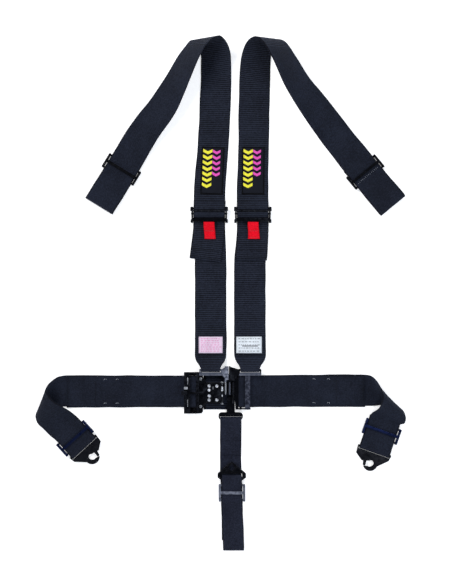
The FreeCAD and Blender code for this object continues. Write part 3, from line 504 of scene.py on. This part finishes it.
def upper_shoulder_route(side):
    end = SHOULDER_ENDS[side]
    folds = edge_pairs(SHOULDER_FOLDS[side])
    across = (folds[0][1] - folds[0][0]) / np.linalg.norm(folds[0][1] - folds[0][0])
    middle = SHOULDERS[side]["upper"]
    pairs = [level(middle, y, FLOOR_LAYER, across, WIDE) for y in (228, 215)]
    pairs += hairpin(middle, UPPER_BAR_Y, UPPER_BAR_Z, BAR_LOOP, -Y_AXIS, across, WIDE, from_top=False)
    pairs += [level(middle, 222, 4.8, across, WIDE), level(middle, 236, FLOOR_LAYER, across, WIDE)]
    pairs += folds
    heading = along(end["heading"])
    side_way = side_of(heading, side)
    x, y = end["slide"]
    station = end_stations(x, y, heading, side_way)
    turn = end["loop"] - HARNESS_BAR_LOOP
    pairs += [
        station(-36, SLIDE_UPPER_Z + 0.4),
        station(22, SLIDE_UPPER_Z),
        station(50, 8.6),
        station(turn - 16, 12.6),
    ]
    cx, cy = x + heading[0] * turn, y + heading[1] * turn
    loop_z = FLOOR_LAYER + HARNESS_BAR_LOOP
    pairs += hairpin(cx, cy, loop_z, HARNESS_BAR_LOOP, heading, side_way, WIDE)
    pairs += [station(40, FLOOR_LAYER), station(-34, FLOOR_LAYER)]
    return pairs


def lap_route(side):
    end = LAP_ENDS[side]
    folds = edge_pairs(LAP_FOLDS[side])
    bar_x = LATCH_BAR_X if side == "left" else LINK_BAR_X
    out = -1 if side == "left" else 1
    middle = end["middle"]
    pairs = [
        level(end["tail"], middle - 0.5, 3.0, Y_AXIS, WIDE),
        level(bar_x + out * 46, middle, 3.0, Y_AXIS, WIDE),
        level(bar_x + out * 13, middle, 8.2, Y_AXIS, WIDE),
    ]
    pairs += hairpin(bar_x, middle, LAP_BAR_Z, LOAD_LOOP, -out * X_AXIS, Y_AXIS, WIDE)
    pairs += [level(bar_x + out * 24, middle, FLOOR_LAYER, Y_AXIS, WIDE)]
    pairs += folds
    heading = along(end["heading"])
    side_way = side_of(heading, side)
    x, y = end["slide"]
    station = end_stations(x, y, heading, side_way)
    bar = end["hole"] - HOOK_BAR
    loop_z = FLOOR_LAYER + BAR_LOOP
    pairs += [
        station(-31, SLIDE_UPPER_Z + 0.1),
        station(20, SLIDE_UPPER_Z),
        station(bar - 3, loop_z + BAR_LOOP - 0.6),
    ]
    pairs += hairpin(x + heading[0] * bar, y + heading[1] * bar, loop_z, BAR_LOOP, heading, side_way, WIDE)
    pairs += [station(bar - 12, FLOOR_LAYER), station(-29, FLOOR_LAYER)]
    return pairs


def sub_route():
    pairs = [
        level(SUB_X, -388, 3.0, X_AXIS, NARROW),
        level(SUB_X, -315, 3.6, X_AXIS, NARROW),
        level(SUB_X, -306, 8.4, X_AXIS, NARROW),
    ]
    pairs += hairpin(SUB_X, SUB_BAR_Y, SUB_TONGUE_Z, BAR_LOOP, Y_AXIS, X_AXIS, NARROW)
    pairs += [
        level(SUB_X, -330, FLOOR_LAYER, X_AXIS, NARROW),
        level(SUB_X, -400, FLOOR_LAYER, X_AXIS, NARROW),
        level(SUB_X + 2, -500, FLOOR_LAYER, X_AXIS, NARROW),
    ]
    fold = 3.1
    fold_z = FLOOR_LAYER + fold
    pairs += hairpin(SUB_FOLD_X, SUB_BOTTOM_Y, fold_z, fold, -Y_AXIS, X_AXIS, NARROW, from_top=False)
    pairs += [
        level(SUB_FRONT_X, -506, 8.0, X_AXIS, NARROW),
        level(SUB_FRONT_X, -456, 8.4, X_AXIS, NARROW - 4),
        level(SUB_FRONT_X, -446, 8.8, X_AXIS, NARROW - 4),
    ]
    pairs += hairpin(SUB_FRONT_X, -439.5, 5.8, 2.8, Y_AXIS, X_AXIS, NARROW - 4)
    pairs += [
        level(SUB_FRONT_X, -460, 3.0, X_AXIS, NARROW),
        level(SUB_FOLD_X - 3, -594, 3.0, X_AXIS, NARROW),
    ]
    return pairs


def pull_tab_route(side):
    x = SHOULDERS[side]["adjuster"] + (-0.5 if side == "left" else 1.0)
    width, skew = TAB_WIDTH, 2.0
    pairs = [
        level(x + skew, 135.8, 7.5, X_AXIS, width),
        level(x + skew / 2, 156, 8.2, X_AXIS, width),
        level(x, 166.5, 12.3, X_AXIS, width),
    ]
    pairs += hairpin(x, PULL_BAR_Y, PULL_BAR_Z, 3.4, Y_AXIS, X_AXIS, width)
    pairs += [
        level(x, 166.0, 6.0, X_AXIS, width),
        level(x + skew / 2, 156, 5.5, X_AXIS, width),
        level(x + skew, 135.8, 5.7, X_AXIS, width),
    ]
    return pairs


# ---- pieces ------------------------------------------------------------------------------------
def new_piece(name, vertices, faces, material, body):
    mesh = bpy.data.meshes.new(name)
    mesh.from_pydata([tuple(v * MM) for v in vertices], [], faces)
    mesh.validate()
    mesh.materials.append(material)
    mesh.polygons.foreach_set("use_smooth", [True] * len(mesh.polygons))
    piece = bpy.data.objects.new(name, mesh)
    bpy.context.scene.collection.objects.link(piece)
    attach(piece, body)
    return piece


def ribbon(name, strap, material, body, columns=18, thickness=WEB):
    """A closed strip of webbing with rounded selvages and a little waviness, and its own UVs."""
    stops = strap.stops()
    spread = np.linspace(-1.0, 1.0, columns + 1)
    ring = 2 * (columns + 1) + 2
    drift = noise_source.normal(0.0, 1.0, (len(stops), 2))
    for _ in range(12):
        drift[1:-1] = (drift[:-2] + drift[1:-1] + drift[2:]) / 3
    vertices, places = [], []
    for row, distance in enumerate(stops):
        a, b, normal = strap.section(distance)
        half = np.linalg.norm(b - a) / 2
        across = (b - a) / (2 * half)
        middle = (a + b) / 2
        sideways = drift[row] * 0.9
        profile = [(-half - 0.25 + sideways[0], 0.0)]
        inner = [u * (half - 0.35) + (sideways[0] if u < 0 else sideways[1]) * abs(u) for u in spread]
        selvage = [thickness / 2 * (1.12 if abs(u) > 0.9 else 1.0) for u in spread]
        profile += list(zip(inner, selvage))
        profile.append((half + 0.25 + sideways[1], 0.0))
        profile += [(x, -h) for x, h in zip(reversed(inner), reversed(selvage))]
        for x, h in profile:
            vertices.append(middle + across * x + normal * h)
            places.append((x * MM, distance * MM))
    faces = []
    for row in range(len(stops) - 1):
        near, far = row * ring, (row + 1) * ring
        for k in range(ring):
            n = (k + 1) % ring
            faces.append((near + k, near + n, far + n, far + k))
    faces.append(tuple(reversed(range(ring))))
    last = (len(stops) - 1) * ring
    faces.append(tuple(last + k for k in range(ring)))
    piece = new_piece(name, vertices, faces, material, body)
    uvs = piece.data.uv_layers.new(name="weave")
    for loop in piece.data.loops:
        uvs.data[loop.index].uv = places[loop.vertex_index]
    tidy_normals(piece)
    return piece


def tidy_normals(piece):
    made = bmesh.new()
    made.from_mesh(piece.data)
    bmesh.ops.recalc_face_normals(made, faces=made.faces)
    made.to_mesh(piece.data)
    made.free()


STITCH_RINGS = ((0.0, -0.2, 0.4), (0.2, 0.12, 0.9), (0.5, 0.2, 1.0), (0.8, 0.12, 0.9), (1.0, -0.2, 0.4))
STITCH_SIDES = 6


def stitch(vertices, faces, start, end, normal, radius):
    """Adds one thread stitch that dips into the cloth at both ends."""
    run = end - start
    across = np.cross(normal, run)
    across = across / np.linalg.norm(across)
    first = len(vertices)
    for place, lift, size in STITCH_RINGS:
        middle = start + run * place + normal * lift
        for k in range(STITCH_SIDES):
            angle = 2 * math.pi * k / STITCH_SIDES
            offset = across * math.cos(angle) + normal * (0.7 * math.sin(angle))
            vertices.append(middle + offset * (radius * size))
    for row in range(len(STITCH_RINGS) - 1):
        for k in range(STITCH_SIDES):
            n = (k + 1) % STITCH_SIDES
            near, far = first + row * STITCH_SIDES, first + (row + 1) * STITCH_SIDES
            faces.append((near + k, near + n, far + n, far + k))
    faces.append(tuple(first + k for k in reversed(range(STITCH_SIDES))))
    last = first + (len(STITCH_RINGS) - 1) * STITCH_SIDES
    faces.append(tuple(last + k for k in range(STITCH_SIDES)))


def sewing(name, strap, lines, material, body, size=3.2, gap=1.3, radius=0.42, thickness=WEB):
    """Stitches on a strap's upper surface, down lines of (distance, side) corners."""
    vertices, faces = [], []
    for line in lines:
        for (s0, u0), (s1, u1) in zip(line, line[1:]):
            span = math.hypot(s1 - s0, u1 - u0)
            count = max(1, round(span / (size + gap)))
            for k in range(count):
                t0, t1 = k / count, (k + size / (size + gap)) / count
                start, normal = strap.spot(s0 + (s1 - s0) * t0, u0 + (u1 - u0) * t0, 0.1, thickness)
                end = strap.spot(s0 + (s1 - s0) * t1, u0 + (u1 - u0) * t1, 0.1, thickness)[0]
                stitch(vertices, faces, start, end, normal, radius)
    piece = new_piece(name, vertices, faces, material, body)
    return piece


def cross_rows(distances, half):
    return [[(d, -half), (d, half)] for d in distances]


def zigzag(start, end, half, pitch):
    """A line that runs from side to side while it goes from start to end."""
    count = max(2, round(abs(end - start) / pitch))
    return [[(start + (end - start) * k / count, half if k % 2 else -half) for k in range(count + 1)]]


def box_of(start, end, half):
    return [[(start, -half), (end, -half), (end, half), (start, half), (start, -half)]]


def nearest(strap, x, y, after=0.0):
    """Distance down the strap where its middle line passes closest to x, y."""
    options = [d for d in strap.stops(2.0) if d >= after]

    def gap(distance):
        a, b = strap.edges(distance)
        return math.hypot((a[0] + b[0]) / 2 - x, (a[1] + b[1]) / 2 - y)

    return min(options, key=gap)


def declare(node):
    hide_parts(node)


def lower_shoulder(side):
    node = side + "_lower_shoulder_webbing"
    body = BODY_OF[node]
    strap = Strap(lower_shoulder_route(side))
    piece = ribbon(node + "_cloth", strap, WEBBING, body)
    x = SHOULDERS[side]["lower"]
    top = nearest(strap, x, -98, 150)
    low = nearest(strap, x, -146, 150)
    lines = cross_rows((3.5, 6.5, 24.0), 36.5)
    lines += box_of(top + 2, low + 3, 34.5)
    lines += zigzag(low - 3, low + 4, 33.0, 1.2)
    thread = sewing(node + "_stitching", strap, lines, DARK_THREAD, body)
    declare(node)


def upper_shoulder(side):
    node = side + "_upper_shoulder_webbing"
    body = BODY_OF[node]
    strap = Strap(upper_shoulder_route(side))
    piece = ribbon(node + "_cloth", strap, WEBBING, body)
    piece.data.materials.append(SMOOTH_WEBBING)
    split = nearest(strap, *strap_middle(SHOULDER_FOLDS[side][8])) * MM
    uvs = piece.data.uv_layers["weave"].data
    for face in piece.data.polygons:
        down = sum(uvs[k].uv[1] for k in face.loop_indices) / face.loop_total
        if down > split:
            face.material_index = 1
    middle = SHOULDERS[side]["upper"]
    seam = nearest(strap, middle, 226, 20)
    lines = cross_rows((seam, seam + 3.0), 35.0)
    thread = sewing(node + "_stitching", strap, lines, DARK_THREAD, body)
    x, y = SHOULDER_ENDS[side]["slide"]
    heading = along(SHOULDER_ENDS[side]["heading"])
    slide = nearest(strap, x + heading[0] * 9, y + heading[1] * 9, 400)
    # A row of short pale thread ticks across the strap where it crosses its slide.
    tick = 4.2
    ticks = [[(slide, u), (slide + tick, u)] for u in np.linspace(-30, 30, 14)]
    marks = sewing(node + "_pale_ticks", strap, ticks, PALE_THREAD, body, tick, 0.5, 0.2)
    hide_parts(side + "_bar_loop_webbing")
    declare(node)


def strap_middle(pair):
    return ((pair[0][0] + pair[1][0]) / 2, (pair[0][1] + pair[1][1]) / 2)


def lap(side):
    node = side + "_lap_webbing"
    body = BODY_OF[node]
    strap = Strap(lap_route(side))
    piece = ribbon(node + "_cloth", strap, SMOOTH_WEBBING, body)
    lines = cross_rows((3.5, 6.5, 70.0), 36.5)
    thread = sewing(node + "_stitching", strap, lines, DARK_THREAD, body)
    specks = []
    for near in (93, 122) if side == "left" else (88, 123):
        for u in (30, -28):
            specks.append([(near - 2.5, u - 1.6), (near, u + 1.2)])
            specks.append([(near + 1.5, u + 1.0), (near + 4.0, u - 0.6)])
    ends = sewing(node + "_thread_ends", strap, specks, PALE_THREAD, body, 2.2, 0.2, 0.5)
    declare(node)


def sub_strap():
    node = "sub_strap_webbing"
    body = BODY_OF[node]
    strap = Strap(sub_route())
    piece = ribbon(node + "_cloth", strap, SUB_WEBBING, body, columns=14)
    start = nearest(strap, SUB_X, -384, 0)
    end = nearest(strap, SUB_X, -320, 0)
    lines = box_of(start, end, 22.0)
    lines += box_of(start + 4, end - 3, 18.0)
    for side in (-13.5, -4.5, 4.5, 13.5):
        lines += [[(s, side + u) for s, u in zigzag(start + 6, end - 6, 3.6, 3.2)[0]]]
    thread = sewing(node + "_stitching", strap, lines, DARK_THREAD, body, 2.6, 0.9)
    declare(node)


def pull_tab(side):
    node = side + "_pull_tab"
    body = BODY_OF[node]
    strap = Strap(pull_tab_route(side))
    piece = ribbon(node + "_cloth", strap, RED_WEBBING, body, columns=10, thickness=TAB_THICK)
    lines = cross_rows((4.0, 19.0, 20.8), 11.0)
    thread = sewing(node + "_stitching", strap, lines, RED_THREAD, body, 2.4, 0.8, 0.4, TAB_THICK)
    declare(node)


# ---- patches and labels ------------------------------------------------------------------------
class Panel:
    """A flat sewn-on panel: its own axes turned in the floor's plane, its top at one height."""

    def __init__(self, node, width, length, turn):
        low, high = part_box(node)
        self.x = (low[0] + high[0]) / 2 / MM
        self.y = (low[1] + high[1]) / 2 / MM
        self.low = low[2] / MM
        self.top = high[2] / MM
        self.width = width
        self.length = length
        self.across = along(turn)
        self.down = along(turn + 90)

    def point(self, u, v, z):
        flat = np.array((self.x, self.y, z))
        return flat + self.across * u + self.down * v


def panel_cloth(name, panel, material, body):
    """A thin crowned cloth panel with rolled edges."""
    columns, rows = 14, 24
    vertices = []
    for layer in (1, -1):
        for j in range(rows + 1):
            for i in range(columns + 1):
                u, v = 2 * i / columns - 1, 2 * j / rows - 1
                edge = max(abs(u) ** 14, abs(v) ** 18)
                ripple = 0.06 * math.sin(7 * v + 2 * u)
                if layer > 0:
                    z = panel.top - (panel.top - panel.low) * 0.4 * edge + ripple * (1 - edge)
                else:
                    z = panel.low
                vertices.append(panel.point(u * panel.width / 2, v * panel.length / 2, z))
    faces = []
    size = (columns + 1) * (rows + 1)
    for j in range(rows):
        for i in range(columns):
            a = j * (columns + 1) + i
            quad = (a, a + 1, a + columns + 2, a + columns + 1)
            faces.append(quad)
            faces.append(tuple(size + k for k in reversed(quad)))
    rim = list(range(columns + 1))
    rim += [(j + 1) * (columns + 1) - 1 for j in range(1, rows + 1)]
    rim += [rows * (columns + 1) + i for i in range(columns - 1, -1, -1)]
    rim += [j * (columns + 1) for j in range(rows - 1, 0, -1)]
    for near, far in zip(rim, rim[1:] + rim[:1]):
        faces.append((near, size + near, size + far, far))
    piece = new_piece(name, vertices, faces, material, body)
    uvs = piece.data.uv_layers.new(name="weave")
    for loop in piece.data.loops:
        place = piece.data.vertices[loop.vertex_index].co
        uvs.data[loop.index].uv = (place.x, place.y)
    tidy_normals(piece)
    return piece


def border(panel, inset, step, reach):
    """Start and end of the short bars that run square to the panel's edge all the way round."""
    half_u, half_v = panel.width / 2 - inset, panel.length / 2 - inset
    bars = []
    for sign in (-1, 1):
        count = round(2 * half_u / step)
        for k in range(count + 1):
            u = -half_u + 2 * half_u * k / count
            bars.append(((u, sign * half_v), (u, sign * (half_v - reach))))
        count = round(2 * half_v / step)
        for k in range(count + 1):
            v = -half_v + 2 * half_v * k / count
            bars.append(((sign * half_u, v), (sign * (half_u - reach), v)))
    return bars


def bars_piece(name, panel, bars, material, body, radius=0.55):
    vertices, faces = [], []
    up = np.array((0.0, 0.0, 1.0))
    for (u0, v0), (u1, v1) in bars:
        start = panel.point(u0, v0, panel.top + 0.05)
        end = panel.point(u1, v1, panel.top + 0.05)
        stitch(vertices, faces, start, end, up, radius)
    piece = new_piece(name, vertices, faces, material, body)
    return piece


def chevrons(middle, start, pitch, count, half, depth, step=0.8):
    """Bars of satin stitch that fill a row of chevrons up the panel."""
    bars = []
    for k in range(count):
        foot = start - pitch * k
        u = -half
        while u <= half + 1e-6:
            peak = (1 - abs(u) / half) * depth * 0.7
            bars.append(((middle + u, foot - peak), (middle + u, foot - peak - depth)))
            u += step
    return bars


def patch(side):
    node = side + "_patch"
    body = BODY_OF[node]
    turn = -2.2 if side == "left" else -0.6
    panel = Panel(node, 55.0, 115.5, turn)
    cloth = panel_cloth(node + "_cloth", panel, PATCH_CLOTH, body)
    rim = bars_piece(node + "_border", panel, border(panel, 0.3, 1.0, 3.0), BORDER_THREAD, body)
    yellow = chevrons(-12.5, 52.5, 13.6, 7, 11.0, 8.2)
    gold = bars_piece(node + "_yellow_chevrons", panel, yellow, YELLOW_THREAD, body)
    pink = chevrons(9.0, 51.5, 13.4, 5, 9.0, 7.2)
    rose = bars_piece(node + "_pink_chevrons", panel, pink, PINK_THREAD, body)
    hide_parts(node)


HEM_INSET = 1.2  # from the label's edge to its stitches
HEM_HALF = 1.2  # half a hem stitch


def label(side):
    node = side + "_label"
    body = BODY_OF[node]
    width = 58.0 if side == "left" else 62.0
    panel = Panel(node, width, 40.0, 0.0)
    cloth = panel_cloth(node + "_cloth", panel, LABEL_CLOTH[side], body)
    print_cloth = PINK_PRINT if side == "left" else GREY_PRINT
    rows = 7 if side == "left" else 5
    dashes = []
    for row in range(rows):
        v = 15.0 - row * 30.0 / (rows - 1)
        u = -width / 2 + 5.0
        while u < width / 2 - 9.0:
            run = random.uniform(3.0, 8.0)
            dashes.append(((u, v), (u + run, v)))
            u += run + random.uniform(1.2, 2.2)
    lines = bars_piece(node + "_dashes", panel, dashes, print_cloth, body, 0.75)
    if side == "right":
        bold = [((u, -4.5), (u, -1.0)) for u in np.arange(-16.0, 22.0, 1.9)]
        bars_piece(node + "_bold_dashes", panel, bold, print_cloth, body, 0.7)
    hem = []
    for (u0, v0), _ in border(panel, HEM_INSET, 3.4, 0.1):
        on_end = abs(abs(v0) - (panel.length / 2 - HEM_INSET)) < 0.01
        du, dv = (HEM_HALF, 0.0) if on_end else (0.0, HEM_HALF)
        hem.append(((u0 - du, v0 - dv), (u0 + du, v0 + dv)))
    sewn = bars_piece(node + "_stitching", panel, hem, PALE_THREAD, body, 0.35)
    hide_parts(node)


def buckle_pad():
    node = "buckle_pad"
    body = BODY_OF[node]
    low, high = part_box(node)
    panel = Panel(node, (high[0] - low[0]) / MM, (high[1] - low[1]) / MM, 0.0)
    cloth = panel_cloth(node + "_cloth", panel, WEBBING, body)
    hem = border(panel, 3.0, 4.0, 2.6)
    sewn = bars_piece(node + "_stitching", panel, hem, DARK_THREAD, body, 0.4)
    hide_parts(node)


# ---- hardware ----------------------------------------------------------------------------------
def finished(node, material, bevel=0.45):
    """The CAD node's own shape with its sharp edges broken by a bevel in millimetres."""
    source = frame["nodes"][node]
    mesh = source.data.copy()
    mesh.name = node + "_finished"
    made = bmesh.new()
    made.from_mesh(mesh)
    bmesh.ops.remove_doubles(made, verts=made.verts, dist=1e-6)
    bmesh.ops.dissolve_limit(
        made, angle_limit=math.radians(1.0), verts=made.verts, edges=made.edges, delimit={"NORMAL"}
    )
    made.to_mesh(mesh)
    made.free()
    mesh.materials.clear()
    mesh.materials.append(material)
    for face in mesh.polygons:
        face.material_index = 0
        face.use_smooth = True
    mesh.set_sharp_from_angle(angle=math.radians(35))
    piece = bpy.data.objects.new(node + "_finished", mesh)
    bpy.context.scene.collection.objects.link(piece)
    soften = piece.modifiers.new("broken_edges", "BEVEL")
    soften.width = bevel * MM
    soften.segments = 2
    soften.limit_method = "ANGLE"
    soften.angle_limit = math.radians(35)
    soften.harden_normals = True
    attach(piece, BODY_OF[node])
    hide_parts(node)
    return piece


def paint_highlight_faces(piece, material, chosen):
    """Gives another material, a painted highlight, to the faces whose middle chosen(x, y, z) picks, in
    millimetres.
    """
    piece.data.materials.append(material)
    for face in piece.data.polygons:
        place = face.center / MM
        if chosen(place.x, place.y, place.z):
            face.material_index = 1


# Where the painted highlights lie: the tongues' cross bars by their x ends, and the link's outer bar.
CROSS_BARS = {"left": (-54.0, 3.0), "right": (41.0, 98.0)}
CROSS_BAR_Y = -185.0
CROSS_BAR_Z = 16.0
LINK_RIM_X = 59.0
LINK_RIM_Z = 11.4


def on_cross_bar(side):
    start, end = CROSS_BARS[side]
    return lambda x, y, z: start < x < end and y < CROSS_BAR_Y and z > CROSS_BAR_Z


def on_link_rim(x, y, z):
    return x > LINK_RIM_X and z > LINK_RIM_Z


def hardware():
    for side in ("left", "right"):
        finished(side + "_shoulder_slide", BLACK_STEEL)
        finished(side + "_lap_slide", BLUE_STEEL)
        finished(side + "_adjuster_frame", BLACK_STEEL)
        finished(side + "_adjuster_load_bar", BLACK_STEEL, 0.3)
        tongue = finished(side + "_shoulder_tongue", BLACK_STEEL)
        # The cross bar gets a painted highlight in lighter steel.
        paint_highlight_faces(tongue, RIM_HIGHLIGHT_STEEL, on_cross_bar(side))
        finished(side + "_snap_hook", CHARCOAL_STEEL, 0.6)
        finished(side + "_snap_gate", CHARCOAL_STEEL, 0.2)
        finished(side + "_gate_rivet", BLACK_STEEL, 0.3)
    finished("sub_tongue", BLACK_STEEL)
    finished("sub_anchor_bracket", BLACK_STEEL, 0.6)
    finished("sub_slide", GREY_STEEL)
    finished("link_load_bar", BLACK_STEEL, 0.3)
    finished("latch_frame", BLACK_STEEL)
    finished("latch_load_bar", BLACK_STEEL, 0.3)
    finished("latch_base", CHARCOAL_STEEL)
    finished("latch_rivets", BRIGHT_STEEL, 0.3)
    finished("lever_hinge_pin", BRIGHT_STEEL, 0.3)
    finished("lever_catch", BRIGHT_STEEL, 0.3)
    finished("lever_spring", BRIGHT_STEEL, 0.05)
    plate = finished("link_plate", BLACK_STEEL)
    # The link's outer bar gets a painted highlight.
    paint_highlight_faces(plate, LINK_HIGHLIGHT_STEEL, on_link_rim)
    finished("release_lever", BLACK_STEEL)


# Bright strips on the finger's leg tops, painted highlights along their edges.
LEG_HIGHLIGHTS = (("left", 10.5, 3.2, BRIGHT_STEEL), ("right", 20.5, 3.4, RIM_HIGHLIGHT_STEEL))  # x, width, finish
# Bright strips in the latch's slots and a bright square beside them, painted highlights on the outer bar.
SLOT_HIGHLIGHTS = (("upper", -207.8), ("lower", -261.2))  # y


def painted_highlights():
    """Painted highlights: bright leg tops on the finger, and bright strips and a bright square on the
    latch's outer bar.
    """
    for side, x, width, finish in LEG_HIGHLIGHTS:
        tongue = side + "_shoulder_tongue"
        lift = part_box(tongue)[1][2] / MM
        middle, size = (x, -225.5, lift - 0.45), (width, 29.0, 0.6)
        strip(side + "_leg_highlight", middle, size, finish, tongue)
    for name, y in SLOT_HIGHLIGHTS:
        middle, size = (-81.0, y, 15.3), (2.0, 17.0, 0.9)
        strip("latch_slot_highlight_" + name, middle, size, BRIGHT_STEEL, "buckle")
    strip("latch_highlight_spot", (-85.5, -224.8, 17.1), (9.0, 6.0, 1.2), BRIGHT_STEEL, "buckle")


def strip(name, middle, size, material, body):
    """A small bright strip for a painted highlight: rounded corners in plan, domed along its top."""
    steps, layers = 24, ((0.0, 1.0), (0.55, 1.0), (0.85, 0.86), (1.0, 0.6))
    vertices, faces = [], []
    x, y, z = middle
    for height, scale in layers:
        for k in range(steps):
            angle = 2 * math.pi * k / steps
            c, s = math.cos(angle), math.sin(angle)
            px = math.copysign(abs(c) ** 0.35, c) * size[0] / 2 * scale
            py = math.copysign(abs(s) ** 0.35, s) * (size[1] / 2 - size[0] / 2 * (1 - scale))
            vertices.append(np.array((x + px, y + py, z + size[2] * (height - 0.5))))
    for row in range(len(layers) - 1):
        for k in range(steps):
            n = (k + 1) % steps
            near, far = row * steps, (row + 1) * steps
            faces.append((near + k, near + n, far + n, far + k))
    faces.append(tuple(reversed(range(steps))))
    faces.append(tuple((len(layers) - 1) * steps + k for k in range(steps)))
    piece = new_piece(name, vertices, faces, material, body)
    tidy_normals(piece)


LEVER_TOP = 20.0
EYELET_STEPS = 24
EYELET_PROFILE = (  # radius, lift above the lever's top
    (0.0, -1.5), (1.0, -1.35), (1.8, -1.1), (2.2, -0.4), (2.5, 0.15), (3.3, 0.35), (3.7, 0.1), (3.7, -0.02)
)


def eyelets():
    """Bright eyelets that line the release lever's six lightening holes."""
    low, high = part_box("release_lever")
    middle_y = (low[1] + high[1]) / 2 / MM
    holes = [(x, middle_y + dy) for x in (-29.0, -10.5) for dy in (-17.0, 17.0)]
    holes += [(-29.0, middle_y + dy) for dy in (-7.0, 7.0)]
    vertices, faces = [], []
    for x, y in holes:
        first = len(vertices)
        for radius, lift in EYELET_PROFILE[1:]:
            for k in range(EYELET_STEPS):
                angle = 2 * math.pi * k / EYELET_STEPS
                place = (x + radius * math.cos(angle), y + radius * math.sin(angle), LEVER_TOP + lift)
                vertices.append(np.array(place))
        centre = len(vertices)
        vertices.append(np.array((x, y, LEVER_TOP + EYELET_PROFILE[0][1])))
        for k in range(EYELET_STEPS):
            n = (k + 1) % EYELET_STEPS
            faces.append((centre, first + k, first + n))
            for row in range(len(EYELET_PROFILE) - 2):
                near, far = first + row * EYELET_STEPS, first + (row + 1) * EYELET_STEPS
                faces.append((near + k, far + k, far + n, near + n))
    piece = new_piece("lever_eyelets", vertices, faces, BRIGHT_STEEL, "release_lever")
    tidy_normals(piece)


# ---- floor, light and camera -------------------------------------------------------------------
FLOOR_REACH = 6.0
FLOOR_Z = -0.0004  # just under the webbing
SEEN_HEIGHT = 1.396


def studio():
    mesh = bpy.data.meshes.new("floor")
    ways = ((-1, -1), (1, -1), (1, 1), (-1, 1))
    corners = [(x * FLOOR_REACH, y * FLOOR_REACH, FLOOR_Z) for x, y in ways]
    mesh.from_pydata(corners, [], [(0, 1, 2, 3)])
    floor = bpy.data.objects.new("floor", mesh)
    bpy.context.scene.collection.objects.link(floor)
    pale = Shader("pale_floor", (0.92, 0.92, 0.92), 0.9)
    pale.surface.inputs["Emission Color"].default_value = (1.0, 1.0, 1.0, 1.0)
    pale.surface.inputs["Emission Strength"].default_value = 0.5
    mesh.materials.append(pale.material)
    world = bpy.data.worlds.new("studio")
    world.use_nodes = True
    nodes, links = world.node_tree.nodes, world.node_tree.links
    height = nodes.new("ShaderNodeSeparateXYZ")
    links.new(nodes.new("ShaderNodeTexCoord").outputs["Generated"], height.inputs[0])
    sky = nodes.new("ShaderNodeValToRGB")
    sky.color_ramp.elements[0].position = 0.25
    sky.color_ramp.elements[0].color = (0.85, 0.9, 1.0, 1.0)
    sky.color_ramp.elements[1].position = 0.92
    sky.color_ramp.elements[1].color = (0.06, 0.065, 0.08, 1.0)
    links.new(height.outputs[2], sky.inputs[0])
    links.new(sky.outputs[0], nodes["Background"].inputs[0])
    nodes["Background"].inputs[1].default_value = 0.9
    bpy.context.scene.world = world
    for name, place, power, size, color in (
        ("key_light", (-1.5, 1.6, 2.3), 60.0, 1.2, (1.0, 0.98, 0.96)),
        ("fill_light", (1.9, 0.3, 2.1), 26.0, 1.6, (0.86, 0.92, 1.0)),
        ("low_light", (0.3, -2.2, 1.9), 24.0, 1.2, (0.9, 0.94, 1.0)),
    ):
        light = bpy.data.lights.new(name, "AREA")
        light.energy = power
        light.size = size
        light.color = color
        lamp = bpy.data.objects.new(name, light)
        bpy.context.scene.collection.objects.link(lamp)
        lamp.location = place
        lamp.rotation_euler = (-Vector(place)).to_track_quat("-Z", "Y").to_euler()


def camera():
    """A long lens straight above the harness."""
    view = bpy.data.cameras.new("camera")
    view.lens = 85.0
    view.sensor_width = 36.0
    eye = bpy.data.objects.new("camera", view)
    bpy.context.scene.collection.objects.link(eye)
    eye.location = (0.0213, 0.0157, SEEN_HEIGHT * view.lens / view.sensor_width + 0.01)
    bpy.context.scene.camera = eye


def build():
    camera()
    for side in ("left", "right"):
        lower_shoulder(side)
        upper_shoulder(side)
        lap(side)
        pull_tab(side)
        patch(side)
        label(side)
    sub_strap()
    buckle_pad()
    hardware()
    painted_highlights()
    eyelets()
    studio()
    bpy.context.scene.view_settings.view_transform = "Standard"


build()
